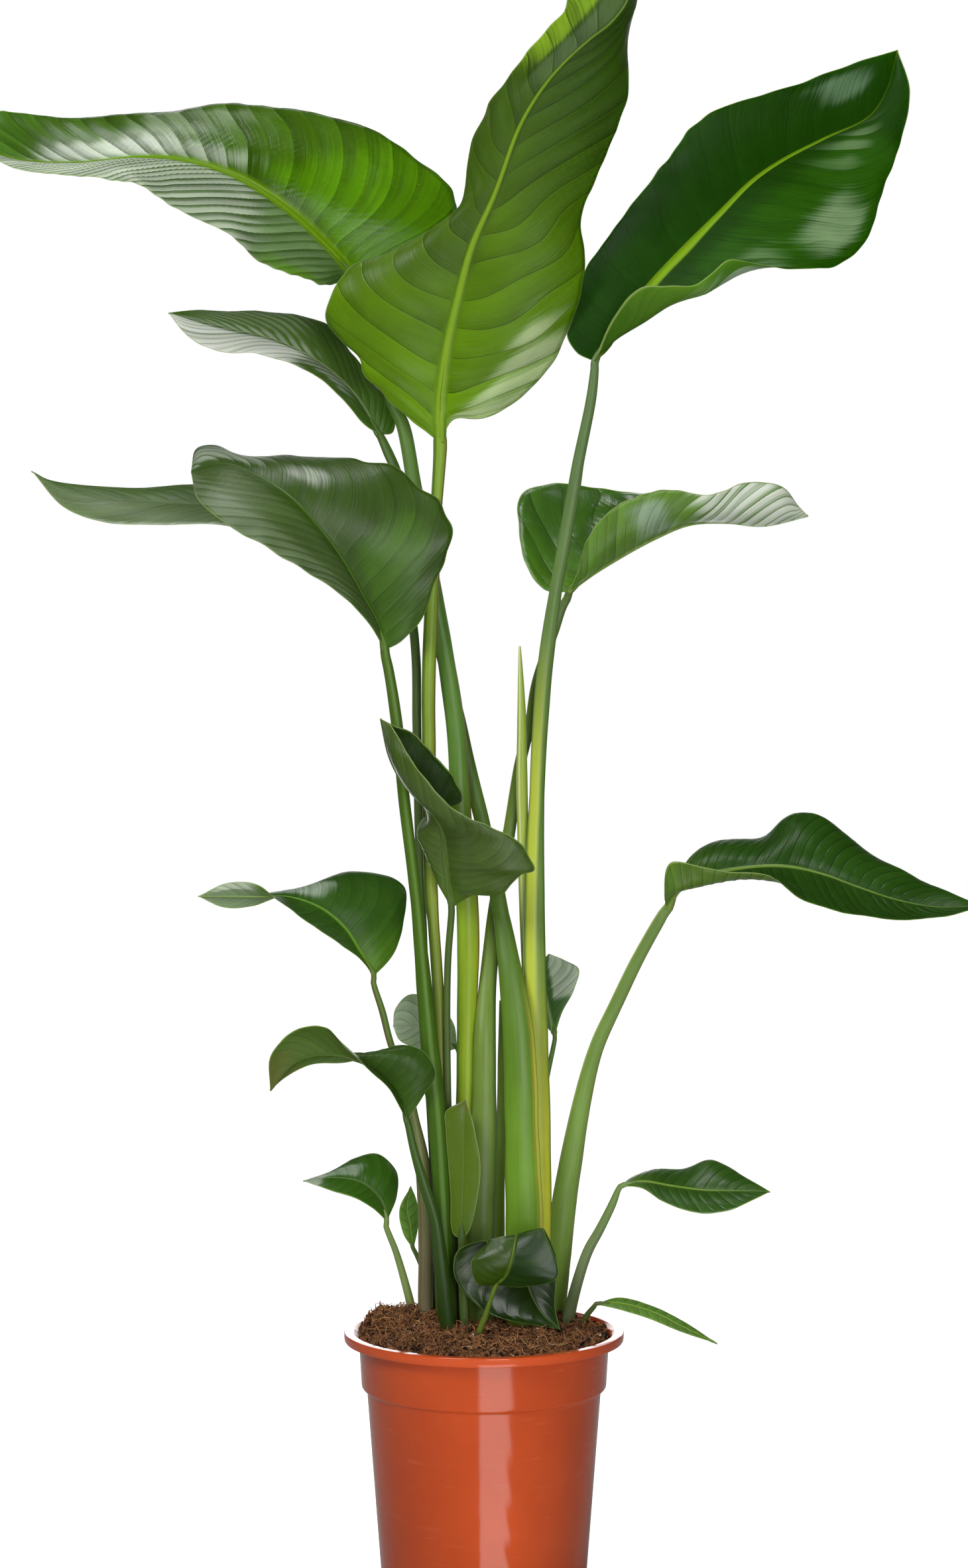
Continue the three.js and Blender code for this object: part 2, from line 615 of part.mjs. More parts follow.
// A blade: a thin sheet lofted from its rib to both edges, with the rib raised on its underside
function bladeGeometry(shoot, clearance = 0) {
  const { rows, across } = FINENESS[shoot.size];
  const axis = axisPoints(shoot);
  const rib = smoothLine(axis, shoot.line.length + 1, axis.length - 1);
  const rails = {};
  for (const rail of ['left', 'right', 'left_knee', 'right_knee']) {
    if (shoot[rail]) rails[rail] = smoothLine(shoot[rail]);
  }
  const sheet = [];
  for (let row = 0; row <= rows; row += 1) {
    const share = row / rows;
    const place = placeAtShare(rib, share, shoot.stations);
    const ribHalf = mix(RIB_START_HALF, RIB_END_HALF, share);
    const halves = ['left', 'right'].map((side, index) => {
      const sign = index ? 1 : -1;
      const near = Math.min(Math.max(share, 0.5 / rows), 1 - 0.5 / rows);
      const railPoint = (rail, at) => placeAtShare(rails[rail], at, shoot.stations).point;
      let out = railPoint(side, share).sub(place.point);
      if (out.length() < ribHalf + TIP_HALF) {
        out = railPoint(side, near).sub(placeAtShare(rib, near, shoot.stations).point);
        out.addScaledVector(place.along, -out.dot(place.along)).setLength(ribHalf + TIP_HALF);
      }
      const edge = place.point.clone().add(out);
      const up = out.clone().multiplyScalar(sign).cross(place.along).normalize();
      let knee = edge.clone().add(place.point).multiplyScalar(0.5);
      if (rails[`${side}_knee`] && share > 0 && share < 1) knee = railPoint(`${side}_knee`, share);
      else knee.addScaledVector(up, shoot.cup[index] * out.length());
      const shares = [...across, Math.min(ribHalf / out.length(), RIB_MAX_SHARE)];
      return shares.map((at) => halfSection(place.point, knee, edge, at));
    });
    sheet.push([...halves[0], place.point, ...halves[1].reverse()]);
  }
  const back = placeAtShare(rib, 0).along.multiplyScalar(-clearance);
  sheet[0].forEach((point) => point.add(back));
  return thickSheet(sheet, clearance, (row) => mix(RIB_START_DEPTH, RIB_END_DEPTH, row / rows));
}

// A closed sheet over a grid of points, its middle column deepened on the underside
function thickSheet(sheet, clearance, ribDepth) {
  const half = BLADE_THICK / 2 + clearance;
  const rows = sheet.length;
  const columns = sheet[0].length;
  const middle = (columns - 1) / 2;
  const top = [];
  const under = [];
  for (let row = 0; row < rows; row += 1) {
    for (let column = 0; column < columns; column += 1) {
      const [before, after] = [Math.max(row - 1, 0), Math.min(row + 1, rows - 1)];
      const [near, far] = [Math.max(column - 1, 0), Math.min(column + 1, columns - 1)];
      const along = sheet[after][column].clone().sub(sheet[before][column]);
      const across = sheet[row][far].clone().sub(sheet[row][near]);
      const up = across.cross(along).normalize();
      const point = sheet[row][column];
      const deeper = column === middle ? ribDepth(row) : 0;
      top.push(point.clone().addScaledVector(up, half));
      under.push(point.clone().addScaledVector(up, -half - deeper));
    }
  }
  const count = top.length;
  const triangles = [];
  for (let row = 0; row < rows - 1; row += 1) {
    for (let column = 0; column < columns - 1; column += 1) {
      const a = row * columns + column;
      const c = a + columns;
      const leftHalf = column < middle;
      const pair = leftHalf ? [[a, a + 1, c], [a + 1, c + 1, c]] : [[a, a + 1, c + 1], [a, c + 1, c]];
      for (const [p, q, r] of pair) triangles.push([p, q, r], [p + count, r + count, q + count]);
    }
  }
  const border = [];
  for (let column = 0; column < columns - 1; column += 1) border.push(column);
  for (let row = 0; row < rows - 1; row += 1) border.push(row * columns + columns - 1);
  for (let column = columns - 1; column > 0; column -= 1) border.push((rows - 1) * columns + column);
  for (let row = rows - 1; row > 0; row -= 1) border.push(row * columns);
  border.forEach((p, i) => {
    const q = border[(i + 1) % border.length];
    triangles.push([q, p, p + count], [q, p + count, q + count]);
  });
  return meshGeometry([...top, ...under], triangles);
}

function solidOf(geometry) {
  const bare = geometry.clone();
  bare.deleteAttribute('normal');
  bare.deleteAttribute('uv');
  const merged = mergeVertices(bare, 1e-4);
  return new wasm.Manifold(new wasm.Mesh({
    numProp: 3,
    vertProperties: new Float32Array(merged.attributes.position.array),
    triVerts: new Uint32Array(merged.index.array),
  }));
}

function geometryOf(solid) {
  const { vertProperties, triVerts } = solid.getMesh();
  const geometry = new THREE.BufferGeometry();
  geometry.setAttribute('position', new THREE.BufferAttribute(vertProperties, 3));
  geometry.setIndex(new THREE.BufferAttribute(triVerts, 1));
  return geometry;
}

// A stalk trimmed where its blade's lowest lobes reach round it, with a fine gap between the two
function fittedStalk(shoot) {
  const stalk = solidOf(stalkGeometry(shoot));
  if (!shoot.rib) return geometryOf(stalk);
  const pieces = stalk.subtract(solidOf(bladeGeometry(shoot, TRIM_CLEARANCE))).decompose();
  return geometryOf(pieces.sort((a, b) => b.volume() - a.volume())[0]);
}

// A body of revolution about +Z from a profile of [radius, height] pairs
function turned(profile, segments) {
  const geometry = new THREE.LatheGeometry(profile.map(([r, z]) => new THREE.Vector2(r, z)), segments);
  return geometry.rotateX(Math.PI / 2);
}

const wallRadius = (height) => mix(BASE_RADIUS, LEDGE_RADIUS, height / LEDGE_HEIGHT);

function potGeometry() {
  const rimFoot = POT_HEIGHT - RIM_TALL;
  const pot = solidOf(turned([
    [0, 0],
    [BASE_RADIUS - RIM_ROUNDING, 0],
    [BASE_RADIUS, RIM_ROUNDING],
    [LEDGE_RADIUS, LEDGE_HEIGHT - CHAMFER],
    [BAND_FOOT_RADIUS, LEDGE_HEIGHT + CHAMFER],
    [BAND_RADIUS, rimFoot],
    [RIM_RADIUS - CHAMFER, rimFoot],
    [RIM_RADIUS, rimFoot + RIM_ROUNDING],
    [RIM_RADIUS, POT_HEIGHT - RIM_ROUNDING],
    [RIM_RADIUS - RIM_ROUNDING, POT_HEIGHT],
    [RIM_INNER_RADIUS + CHAMFER, POT_HEIGHT],
    [RIM_INNER_RADIUS, POT_HEIGHT - CHAMFER],
    [BAND_RADIUS - WALL, rimFoot],
    [BAND_FOOT_RADIUS - WALL, LEDGE_HEIGHT + CHAMFER],
    [LEDGE_RADIUS - WALL, LEDGE_HEIGHT - CHAMFER],
    [wallRadius(FLOOR) - WALL, FLOOR],
    [0, FLOOR],
  ], POT_SEGMENTS));
  let holes = null;
  for (let i = 0; i < DRAIN_COUNT; i += 1) {
    const angle = 2 * Math.PI * i / DRAIN_COUNT;
    const hole = new THREE.CylinderGeometry(DRAIN_RADIUS, DRAIN_RADIUS, 4 * FLOOR, DRAIN_SEGMENTS);
    hole.rotateX(Math.PI / 2);
    hole.translate(DRAIN_RING_RADIUS * Math.cos(angle), DRAIN_RING_RADIUS * Math.sin(angle), FLOOR / 2);
    const solid = solidOf(hole);
    holes = holes ? holes.add(solid) : solid;
  }
  return geometryOf(pot.subtract(holes));
}

// The height of the peat's top, domed, heaped up at one place and a little rippled
function peatHeight(x, y) {
  const radius = Math.hypot(x, y) / RIM_INNER_RADIUS;
  const mound = Math.hypot(x - PEAT_MOUND_PLACE[0], y - PEAT_MOUND_PLACE[1]) / PEAT_MOUND_RADIUS;
  return PEAT_EDGE_HEIGHT + PEAT_DOME * (1 - radius ** 2) + PEAT_MOUND * Math.exp(-(mound ** 2))
    + PEAT_RIPPLE * Math.sin(x / PEAT_RIPPLE_LENGTHS[0]) * Math.cos(y / PEAT_RIPPLE_LENGTHS[1]);
}

function peatGeometry() {
  const top = PEAT_EDGE_HEIGHT;
  const inset = WALL + PEAT_WALL_GAP;
  const edge = RIM_INNER_RADIUS - PEAT_RIM_GAP - PEAT_WALL_GAP;
  const rings = [];
  for (let ring = 0; ring < PEAT_RINGS; ring += 1) rings.push([edge * (1 - ring / PEAT_RINGS), top]);
  const geometry = turned([
    [0, FLOOR + GAP],
    [wallRadius(FLOOR) - inset, FLOOR + GAP],
    [LEDGE_RADIUS - inset, LEDGE_HEIGHT - CHAMFER],
    [BAND_FOOT_RADIUS - inset, LEDGE_HEIGHT + CHAMFER + PEAT_WALL_GAP],
    [BAND_RADIUS - inset, POT_HEIGHT - RIM_TALL],
    ...rings,
    [0, top],
  ], PEAT_SEGMENTS);
  const { position } = geometry.attributes;
  for (let i = 0; i < position.count; i += 1) {
    const [x, y, z] = [position.getX(i), position.getY(i), position.getZ(i)];
    if (z > top - 0.1 && Math.hypot(x, y) < edge - 1) position.setZ(i, peatHeight(x, y));
  }
  let peat = solidOf(geometry);
  for (const shoot of Object.values(SHOOTS)) {
    peat = peat.subtract(solidOf(stalkGeometry(shoot, HOLE_CLEARANCE)));
  }
  return geometryOf(peat);
}

const plant = new THREE.Group();
function addPiece(name, geometry, color, roughness) {
  const mesh = new THREE.Mesh(geometry, new THREE.MeshStandardMaterial({ color, roughness, metalness: 0 }));
  mesh.name = name;
  plant.add(mesh);
}

addPiece('pot', potGeometry(), POT_COLOUR, 0.35);
addPiece('peat', peatGeometry(), PEAT_COLOUR, 1);
for (const [name, shoot] of Object.entries(SHOOTS)) {
  addPiece(`stalk_${name}`, fittedStalk(shoot), GREENS[shoot.stalkGreen], 0.45);
  if (shoot.rib) addPiece(`blade_${name}`, bladeGeometry(shoot), GREENS[shoot.bladeGreen], 0.4);
}

export default plant;
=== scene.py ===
# A potted bird of paradise: paddle-shaped leaves on long stalks in the peat of a plain plastic nursery pot.
# The shoots are drawn in millimetres by the same control points as the solids. Meshes are in metres.
import math

import bpy
import mathutils
import numpy as np
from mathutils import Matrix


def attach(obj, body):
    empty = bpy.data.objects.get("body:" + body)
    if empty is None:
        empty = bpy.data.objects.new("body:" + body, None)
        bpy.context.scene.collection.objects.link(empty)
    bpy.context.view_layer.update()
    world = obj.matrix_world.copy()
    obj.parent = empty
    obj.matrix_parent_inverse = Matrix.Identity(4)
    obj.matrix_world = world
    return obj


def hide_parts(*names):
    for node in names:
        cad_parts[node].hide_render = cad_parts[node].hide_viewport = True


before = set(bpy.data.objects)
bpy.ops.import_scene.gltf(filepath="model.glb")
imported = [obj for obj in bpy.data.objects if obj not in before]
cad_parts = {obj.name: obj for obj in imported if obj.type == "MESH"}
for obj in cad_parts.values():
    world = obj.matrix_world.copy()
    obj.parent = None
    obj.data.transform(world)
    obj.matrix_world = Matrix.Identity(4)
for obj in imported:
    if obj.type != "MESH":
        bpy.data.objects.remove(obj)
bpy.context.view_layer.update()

MM = 0.001

# The camera stands level in front of the plant, at the height that the rim's ellipse gives
CAMERA_PLACE = (0.0, -2.37, 0.699)
CAMERA_LENS = 63.3
CAMERA_SENSOR = 36


def added(name, data):
    """A new object in the scene."""
    made = bpy.data.objects.new(name, data)
    bpy.context.scene.collection.objects.link(made)
    return made


camera = added("front_camera", bpy.data.cameras.new("front_camera"))
camera.location = CAMERA_PLACE
camera.rotation_euler = (math.pi / 2, 0, 0)
camera.data.lens = CAMERA_LENS
camera.data.sensor_width = CAMERA_SENSOR
camera.data.clip_start = 0.05
camera.data.clip_end = 50
bpy.context.scene.camera = camera
bpy.context.scene.view_settings.view_transform = "Standard"

# Pot
POT_HEIGHT = 230
RIM_RADIUS = 120
RIM_INNER_RADIUS = 112
RIM_TALL = 8
BAND_RADIUS = 107.4
BAND_FOOT_RADIUS = 105
LEDGE_HEIGHT = 181
LEDGE_RADIUS = 100.5
BASE_RADIUS = 86.4
WALL = 2
FLOOR = 2.5
POT_SIDES = 144

# Peat, a little domed, with a heap by the left back of the rim
PEAT_EDGE_HEIGHT = 226
PEAT_DOME = 4
PEAT_MOUND_PLACE = (-78, 40)
PEAT_MOUND_RADIUS = 45
HEAP = 9
PEAT_GAP = 0.6
# The peat's top reaches this much further out than its wall, as the rim opens there, and its innermost ring
# is this share of it
PEAT_TOP_WIDER = 3
PEAT_MIDDLE = 0.003
PEAT_RINGS, PEAT_SIDES = 150, 300
# Lumps of the top as length, count of waves and height, and the crumbs between them
PEAT_LUMPS = ((34, 9, 1.4), (13, 14, 1.0), (5.5, 18, 1.3))
PEAT_CRUMBS = (2.6, 22, 1.5)
PEAT_SEED = 71

# Litter on the peat: fibres of coir and crumbs, thickest at the heap
LITTER_SEED = 11
HEAP_SHARE = 0.25
HEAP_SPREAD = 16
HEAP_REACH = 22
LITTER_REACH = 104
# Fibres: from least to most length, half width and arch, and the share that stands up at one end
FIBRE_COUNT, FIBRE_REACH, FIBRE_RINGS = 2600, 100, 6
FIBRE_LONG, FIBRE_HALF, FIBRE_ARCH = (6, 26), (0.16, 0.5), (0.3, 3.0)
FIBRE_BEND, FIBRE_CLEAR = 1.2, 0.3
STANDING_SHARE, STANDING_HIGH = 0.15, 6
# Crumbs: from least to most half size, unevenness and rise out of the peat, with larger ones on the heap,
# and how near to its poles the rings of one reach and how flat it is
CRUMB_COUNT, CRUMB_REACH, CRUMB_RINGS, CRUMB_SIDES = 1800, 103, 4, 6
CRUMB_SIZE, CRUMB_UNEVEN, CRUMB_RISE = (0.5, 1.7), (0.7, 1.2), (0.1, 0.7)
CRUMB_ON_HEAP, CRUMB_POLE, CRUMB_FLAT = 1.5, 0.85, 0.8

# Stalks stand this deep in the peat, where their feet draw together to this share
STALK_ROOT = 42
ROOT_LEAN = 0.88
STALK_SIDES = 32
STALK_STEP = 4
STALK_LEAST_DEPTH = 2
# A stalk runs on under its blade's rib, this far at most and by this share of the rib, and thins out there
OVERRUN = 18
OVERRUN_SHARE = 0.12
OVERRUN_TAPER = 0.85
# The channel along a stalk, with its angle from the right over the back, and the lips on both its sides
CHANNEL_AT = math.radians(80)
CHANNEL_DEEP, CHANNEL_WIDE = 0.25, 0.42
LIP_HIGH, LIP_AT, LIP_WIDE = 0.05, 0.75, 0.22
STALK_LUMPS, LUMP_LONG, LUMP_AROUND = 0.018, 60, 30

# Blades: rows along one and columns across each half, by its size
BLADE_GRID = {"big": (230, 24), "medium": (150, 20), "small": (110, 16)}
# A blade's thickness, that of its edge and the width over which it thins to that
BLADE_THICK, EDGE_THICK, EDGE_THIN = 0.5, 0.3, 8
# The rib: its half width at the tip, how it narrows to that, its share of the stalk's width at the foot and
# the share of the blade over which it comes to its own width
RIB_END_HALF = 0.7
RIB_TAPER = 1.4
RIB_START_SHARE = 0.93
RIB_JOIN = 0.05
# It stands out below by this share of its half width and this much more
RIB_DEEP, RIB_END_DEPTH = 0.75, 0.4
# The channel over the rib and its raised sides, by the rib's depth and half width
RIB_CHANNEL_DEEP, RIB_CHANNEL_WIDE = 0.22, 0.6
RIB_SIDE_HIGH, RIB_SIDE_WIDE = 0.1, 0.3
# The columns over the rib, in its half widths, and how far apart they may be as a share of the blade's half
RIB_COLUMNS = (0, 0.4, 0.75, 1.0, 1.4)
RIB_COLUMN_SHARE = 0.09
# No half of a blade is narrower than its rib with this margin, or at the tip than this, opening from there
RIB_MARGIN = 0.8
TIP_HALF = 0.4
TIP_OPENING = 0.25
# The share of the blade at each end where its lines run together
BLADE_ENDS = 0.03
# Side veins leave the rib in a short turn, and those of the two halves don't meet
VEIN_TURN = 0.06
VEIN_SHIFT = 3.1
VEIN_LEAN_MOST = 0.4
# Folds swell up from beside the rib over the first length and fade to a share at the edge over the second
PLEAT_START, PLEAT_END, PLEAT_END_SHARE = 10, 12, 0.25
FOLD_LEVEL = 0.55
# Folds wander by a share of their spacing, are of uneven height, and have finer ripples along them
WANDER, WANDER_LONG = 0.1, 60
FOLD_HIGH, FOLD_UNEVEN, FOLD_UNEVEN_LONG = 0.8, 0.35, 70
SWELL_HIGH, SWELL_LONG, SWELL_STRETCH = 0.16, 0.33, 0.03
# Blades with halves narrower than this have lower waves and nicks
FULL_REACH = 45
WAVE_LONG, WAVE_STRETCH, NICK_LONG = 110, 0.7, 17
FRILL_FROM, NICK_FROM = 0.62, 0.88
# How steeply the waves and the frill rise towards the edge, and how soon the frill fades at the blade's ends
WAVE_POWER, FRILL_POWER, FRILL_ENDS_POWER = 1.6, 1.5, 0.3
# How far the halves are set apart in the ripples that wander, frill and nick them
WANDER_APART, FRILL_APART, NICK_APART = 60, 400, 90

# Every shoot, drawn by points from its foot to its tip: the middle line of its stalk, with the stalk's width
# in the front view there, and the rib and both edges of its blade, all between the blade's ends. Left and
# right are as seen on the blade's upper face with its tip up. A knee is a line halfway between rib and edge
# where a blade rolls over, and elsewhere cup bows each half by that share of its width. Depth is the share of
# the stalk's width front to back, and stations set the edges' points against the rib's one by one. Size picks
# the grid, and stalk and blade name their greens.
SHOOT = {
    "size": "small", "depth": 0.9, "stalk": "stalk", "blade": "dark", "cup": (0.05, 0.05), "stations": False,
}
SHOOTS = {
    "top_left": {
        "size": "big", "depth": 0.7, "blade": "mid", "cup": (0.1, 0.06),
        "widths": [15, 16, 17, 17, 20, 18, 17, 15, 14, 13, 12, 11, 9, 8],
        "ends": [(-114, 71, 1148), (-450, 8, 1254)],
        "line": [(-17, 44, 227), (-17, 44, 340), (-16, 45, 420), (-15, 46, 487), (-14, 42, 578),
            (-21, 40, 687), (-24, 42, 742), (-33, 44, 805), (-46, 48, 880), (-61, 54, 960), (-71, 58, 1014),
            (-80, 60, 1034), (-95, 66, 1087), (-112, 70, 1143)],
        "rib": [(-141, 66, 1176), (-181, 58, 1210), (-221, 50, 1233), (-261, 42, 1244), (-300, 34, 1245),
            (-357, 24, 1238), (-407, 16, 1240)],
        "left": [(-127, 60, 1141), (-139, 46, 1136), (-158, 30, 1139), (-189, 10, 1149), (-229, -8, 1175),
            (-271, -15, 1196), (-312, -10, 1217), (-359, 0, 1223), (-405, 6, 1230)],
        "right": [(-94, 70, 1143), (-65, 74, 1162), (-27, 84, 1199), (-27, 92, 1227), (-74, 106, 1272),
            (-130, 112, 1298), (-185, 112, 1307), (-256, 104, 1307), (-321, 86, 1296), (-373, 64, 1287),
            (-422, 36, 1283)],
    },
    "top_centre": {
        "size": "big", "depth": 0.8, "stalk": "olive", "blade": "bright", "cup": (-0.1, -0.1),
        "widths": [12, 12, 10, 10, 12, 12, 12, 12, 10, 12], "ends": [(-38, 21, 995), (115, -152, 1363)],
        "line": [(-36, 30, 233), (-37, 29, 400), (-38, 28, 484), (-44, 27, 579), (-46, 27, 603),
            (-48, 25, 747), (-48, 25, 793), (-46, 25, 845), (-41, 25, 944), (-38, 22, 990)],
        "rib": [(-37, 14, 1033), (-31, 2, 1077), (-22, -14, 1114), (-10, -34, 1155), (9, -56, 1195),
            (30, -86, 1245), (48, -104, 1271), (65, -118, 1288), (86, -132, 1304), (104, -142, 1316),
            (116, -148, 1333)],
        "left": [(-26, 14, 1014), (1, 8, 1014), (40, 4, 1038), (73, -2, 1087), (85, -14, 1136),
            (84, -32, 1184), (105, -58, 1229), (118, -80, 1267), (120, -96, 1296), (121, -108, 1320),
            (125, -118, 1339), (124, -130, 1352)],
        "right": [(-49, 18, 1003), (-74, 18, 1023), (-109, 14, 1064), (-134, 10, 1101), (-121, 0, 1136),
            (-62, -18, 1164), (-24, -34, 1188), (-10, -60, 1239), (17, -90, 1279), (46, -122, 1306),
            (71, -150, 1333), (93, -160, 1354)],
    },
    "top_right": {
        "size": "big", "depth": 0.6, "cup": (0.06, 0),
        "widths": [20, 20, 21, 21, 18, 13, 14, 13, 11, 11, 11, 10, 9, 7],
        "ends": [(95, -6, 1061), (369, 90, 1354)],
        "line": [(48, 38, 231), (49, 37, 304), (48, 36, 392), (45, 33, 489), (44, 30, 605), (46, 26, 689),
            (50, 21, 769), (56, 16, 825), (62, 11, 866), (69, 6, 907), (78, 1, 956), (81, 0, 975),
            (92, -5, 1030), (95, -6, 1057)],
        "rib": [(114, -4, 1093), (145, 2, 1131), (175, 12, 1164), (204, 22, 1194), (234, 34, 1225),
            (262, 46, 1246), (300, 60, 1268), (342, 74, 1291), (360, 84, 1320)],
        "left": [(79, -2, 1070), (72, 4, 1086), (81, 16, 1131), (113, 30, 1185), (151, 44, 1233),
            (181, 56, 1277), (211, 66, 1298), (253, 76, 1312), (307, 86, 1334), (346, 90, 1347)],
        "right": [(104, -18, 1085), (116, -32, 1104), (132, -42, 1118), (154, -46, 1119), (179, -44, 1121),
            (208, -40, 1142), (245, -32, 1136), (294, -18, 1140), (325, 2, 1161), (346, 26, 1213),
            (366, 48, 1264), (377, 70, 1313)],
        "right_knee": [(111, -16, 1077), (135, -24, 1091), (158, -28, 1105), (189, -26, 1118),
            (227, -18, 1141), (274, 0, 1173), (314, 24, 1213), (346, 48, 1264), (366, 74, 1317)],
    },
    "mid_left_back": {
        "size": "medium", "depth": 0.45, "stalk": "sheath", "blade": "grey", "cup": (0.06, 0.06),
        "widths": [31, 33, 30, 28, 22, 14, 13, 13, 12, 11, 9, 9, 9, 7],
        "ends": [(-94, 100, 1012), (-280, 76, 1117)],
        "line": [(35, 9, 234), (35, 9, 317), (33, 10, 388), (30, 15, 480), (24, 21, 528), (15, 33, 585),
            (0, 46, 659), (-13, 54, 712), (-25, 61, 766), (-44, 72, 841), (-65, 86, 925), (-78, 95, 977),
            (-86, 98, 996), (-93, 100, 1011)],
        "rib": [(-104, 99, 1030), (-118, 96, 1050), (-145, 91, 1074), (-183, 85, 1093), (-224, 80, 1103),
            (-253, 78, 1110)],
        "left": [(-107, 92, 1020), (-124, 82, 1039), (-143, 70, 1056), (-173, 60, 1070), (-200, 54, 1077),
            (-235, 54, 1080), (-260, 62, 1093)],
        "right": [(-82, 102, 1014), (-83, 108, 1044), (-100, 114, 1059), (-119, 118, 1086),
            (-139, 118, 1111), (-161, 114, 1121), (-196, 106, 1124), (-231, 96, 1123), (-260, 86, 1121)],
    },
    "left_front": {
        "size": "big", "depth": 0.7, "blade": "grey", "cup": (0.05, 0.08),
        "widths": [13, 15, 16, 17, 14, 10, 10, 10, 9, 8], "ends": [(-85, 0, 814), (-253, 10, 968)],
        "line": [(-31, 14, 230), (-35, 13, 316), (-41, 10, 415), (-45, 9, 453), (-51, 7, 517), (-58, 4, 596),
            (-69, 0, 689), (-75, 0, 751), (-82, 0, 797), (-85, 0, 811)],
        "rib": [(-92, -5, 839), (-103, -10, 859), (-123, -18, 894), (-143, -22, 920), (-166, -20, 944),
            (-193, -12, 962), (-222, -2, 974)],
        "left": [(-98, -14, 835), (-112, -26, 850), (-136, -42, 870), (-166, -54, 888), (-190, -58, 903),
            (-217, -50, 918), (-241, -30, 938)],
        "right": [(-67, -4, 824), (-51, -10, 843), (-43, -14, 867), (-28, -14, 909), (-33, -8, 929),
            (-51, 0, 951), (-83, 8, 971), (-120, 16, 981), (-167, 24, 986), (-207, 28, 985), (-235, 28, 993),
            (-249, 22, 990)],
    },
    "far_left": {
        "size": "medium", "stalk": "dark", "blade": "grey",
        "widths": [8, 8, 8, 8, 8, 8, 8, 8, 8, 6], "ends": [(-91, 80, 895), (-406, 104, 980)],
        "line": [(-41, 58, 230), (-43, 56, 338), (-49, 54, 455), (-54, 50, 572), (-57, 50, 659),
            (-59, 52, 754), (-60, 58, 811), (-65, 68, 850), (-76, 76, 877), (-90, 80, 893)],
        "rib": [(-118, 82, 921), (-171, 84, 941), (-236, 88, 947), (-292, 92, 950), (-341, 96, 954),
            (-380, 100, 965)],
        "left": [(-123, 66, 901), (-169, 58, 915), (-233, 58, 927), (-289, 66, 928), (-339, 78, 932),
            (-375, 90, 946)],
        "right": [(-98, 96, 931), (-149, 106, 959), (-209, 112, 968), (-266, 114, 969), (-316, 112, 966),
            (-363, 108, 968), (-393, 106, 973)],
    },
    "mid_fold": {
        "size": "medium", "blade": "grey", "cup": (-0.18, -0.3),
        "widths": [7, 7, 6, 6, 6, 6], "ends": [(-28, 7, 592), (-87, -40, 754)],
        "line": [(-24, 27, 230), (-27, 25, 343), (-31, 22, 419), (-32, 18, 509), (-31, 14, 551),
            (-28, 8, 588)],
        "rib": [(-31, -10, 626), (-36, -28, 662), (-50, -42, 682), (-67, -50, 699), (-79, -50, 721)],
        "left": [(-8, -8, 604), (13, -24, 604), (31, -38, 620), (42, -46, 626), (29, -56, 651),
            (4, -66, 664), (-24, -74, 677), (-45, -78, 699), (-64, -72, 725), (-77, -56, 747)],
        "right": [(-41, 2, 616), (-51, 4, 644), (-55, 9, 664), (-35, 13, 676), (-19, 7, 685), (-26, -3, 705),
            (-43, -14, 724), (-60, -24, 742), (-75, -34, 748)],
    },
    "right_mid": {
        "size": "medium", "depth": 0.5, "blade": "grey", "cup": (-0.15, -0.18),
        "widths": [22, 23, 22, 19, 15, 13, 11, 10, 9, 8, 8, 8, 7], "ends": [(74, 50, 867), (280, 14, 931)],
        "line": [(-2, 28, 233), (-2, 28, 317), (0, 30, 393), (1, 36, 479), (4, 51, 531), (12, 62, 601),
            (22, 61, 656), (32, 59, 718), (40, 57, 749), (46, 55, 789), (62, 53, 834), (69, 52, 855),
            (74, 51, 864)],
        "rib": [(90, 47, 880), (116, 42, 896), (148, 35, 913), (179, 28, 925), (210, 22, 926),
            (242, 18, 923)],
        "left": [(52, 62, 871), (36, 72, 895), (31, 80, 921), (32, 88, 956), (60, 92, 967), (101, 88, 963),
            (139, 78, 957), (179, 62, 953), (221, 42, 945), (254, 26, 936)],
        "right": [(80, 34, 881), (89, 22, 910), (101, 14, 928), (126, 6, 945), (160, 0, 952), (194, -6, 947),
            (224, -10, 957), (256, -4, 954), (271, 8, 939)],
    },
    "small_left_top": {
        "size": "medium", "depth": 0.8, "stalk": "grey", "cup": (-0.05, 0.08),
        "widths": [12, 13, 13, 9, 7, 6, 6, 5], "ends": [(-96, 44, 531), (-247, 12, 602)],
        "line": [(-51, 40, 230), (-51, 40, 299), (-54, 40, 368), (-61, 40, 405), (-70, 41, 445),
            (-81, 42, 470), (-89, 43, 500), (-97, 44, 527)],
        "rib": [(-109, 40, 553), (-122, 34, 574), (-142, 27, 591), (-169, 20, 601), (-206, 14, 602)],
        "left": [(-109, 30, 548), (-136, 14, 568), (-160, 4, 585), (-178, 0, 599), (-195, 2, 612),
            (-220, 8, 614)],
        "right": [(-79, 50, 549), (-70, 58, 580), (-70, 64, 608), (-93, 66, 619), (-125, 60, 621),
            (-151, 48, 608), (-176, 34, 602), (-201, 22, 593), (-225, 16, 592)],
    },
    "small_left_mid": {
        "size": "medium", "depth": 0.6, "stalk": "dark", "cup": (0.05, 0.1),
        "widths": [13, 13, 10, 9, 7, 6], "ends": [(-66, -2, 409), (-182, -24, 438)],
        "line": [(-31, -6, 232), (-37, -7, 288), (-42, -7, 325), (-52, -5, 357), (-60, -3, 384),
            (-65, -2, 406)],
        "rib": [(-72, -6, 430), (-87, -10, 450), (-110, -13, 463), (-136, -16, 468), (-161, -20, 462)],
        "left": [(-73, -16, 424), (-83, -26, 441), (-100, -32, 457), (-115, -34, 473), (-133, -34, 493),
            (-157, -32, 493), (-181, -28, 470)],
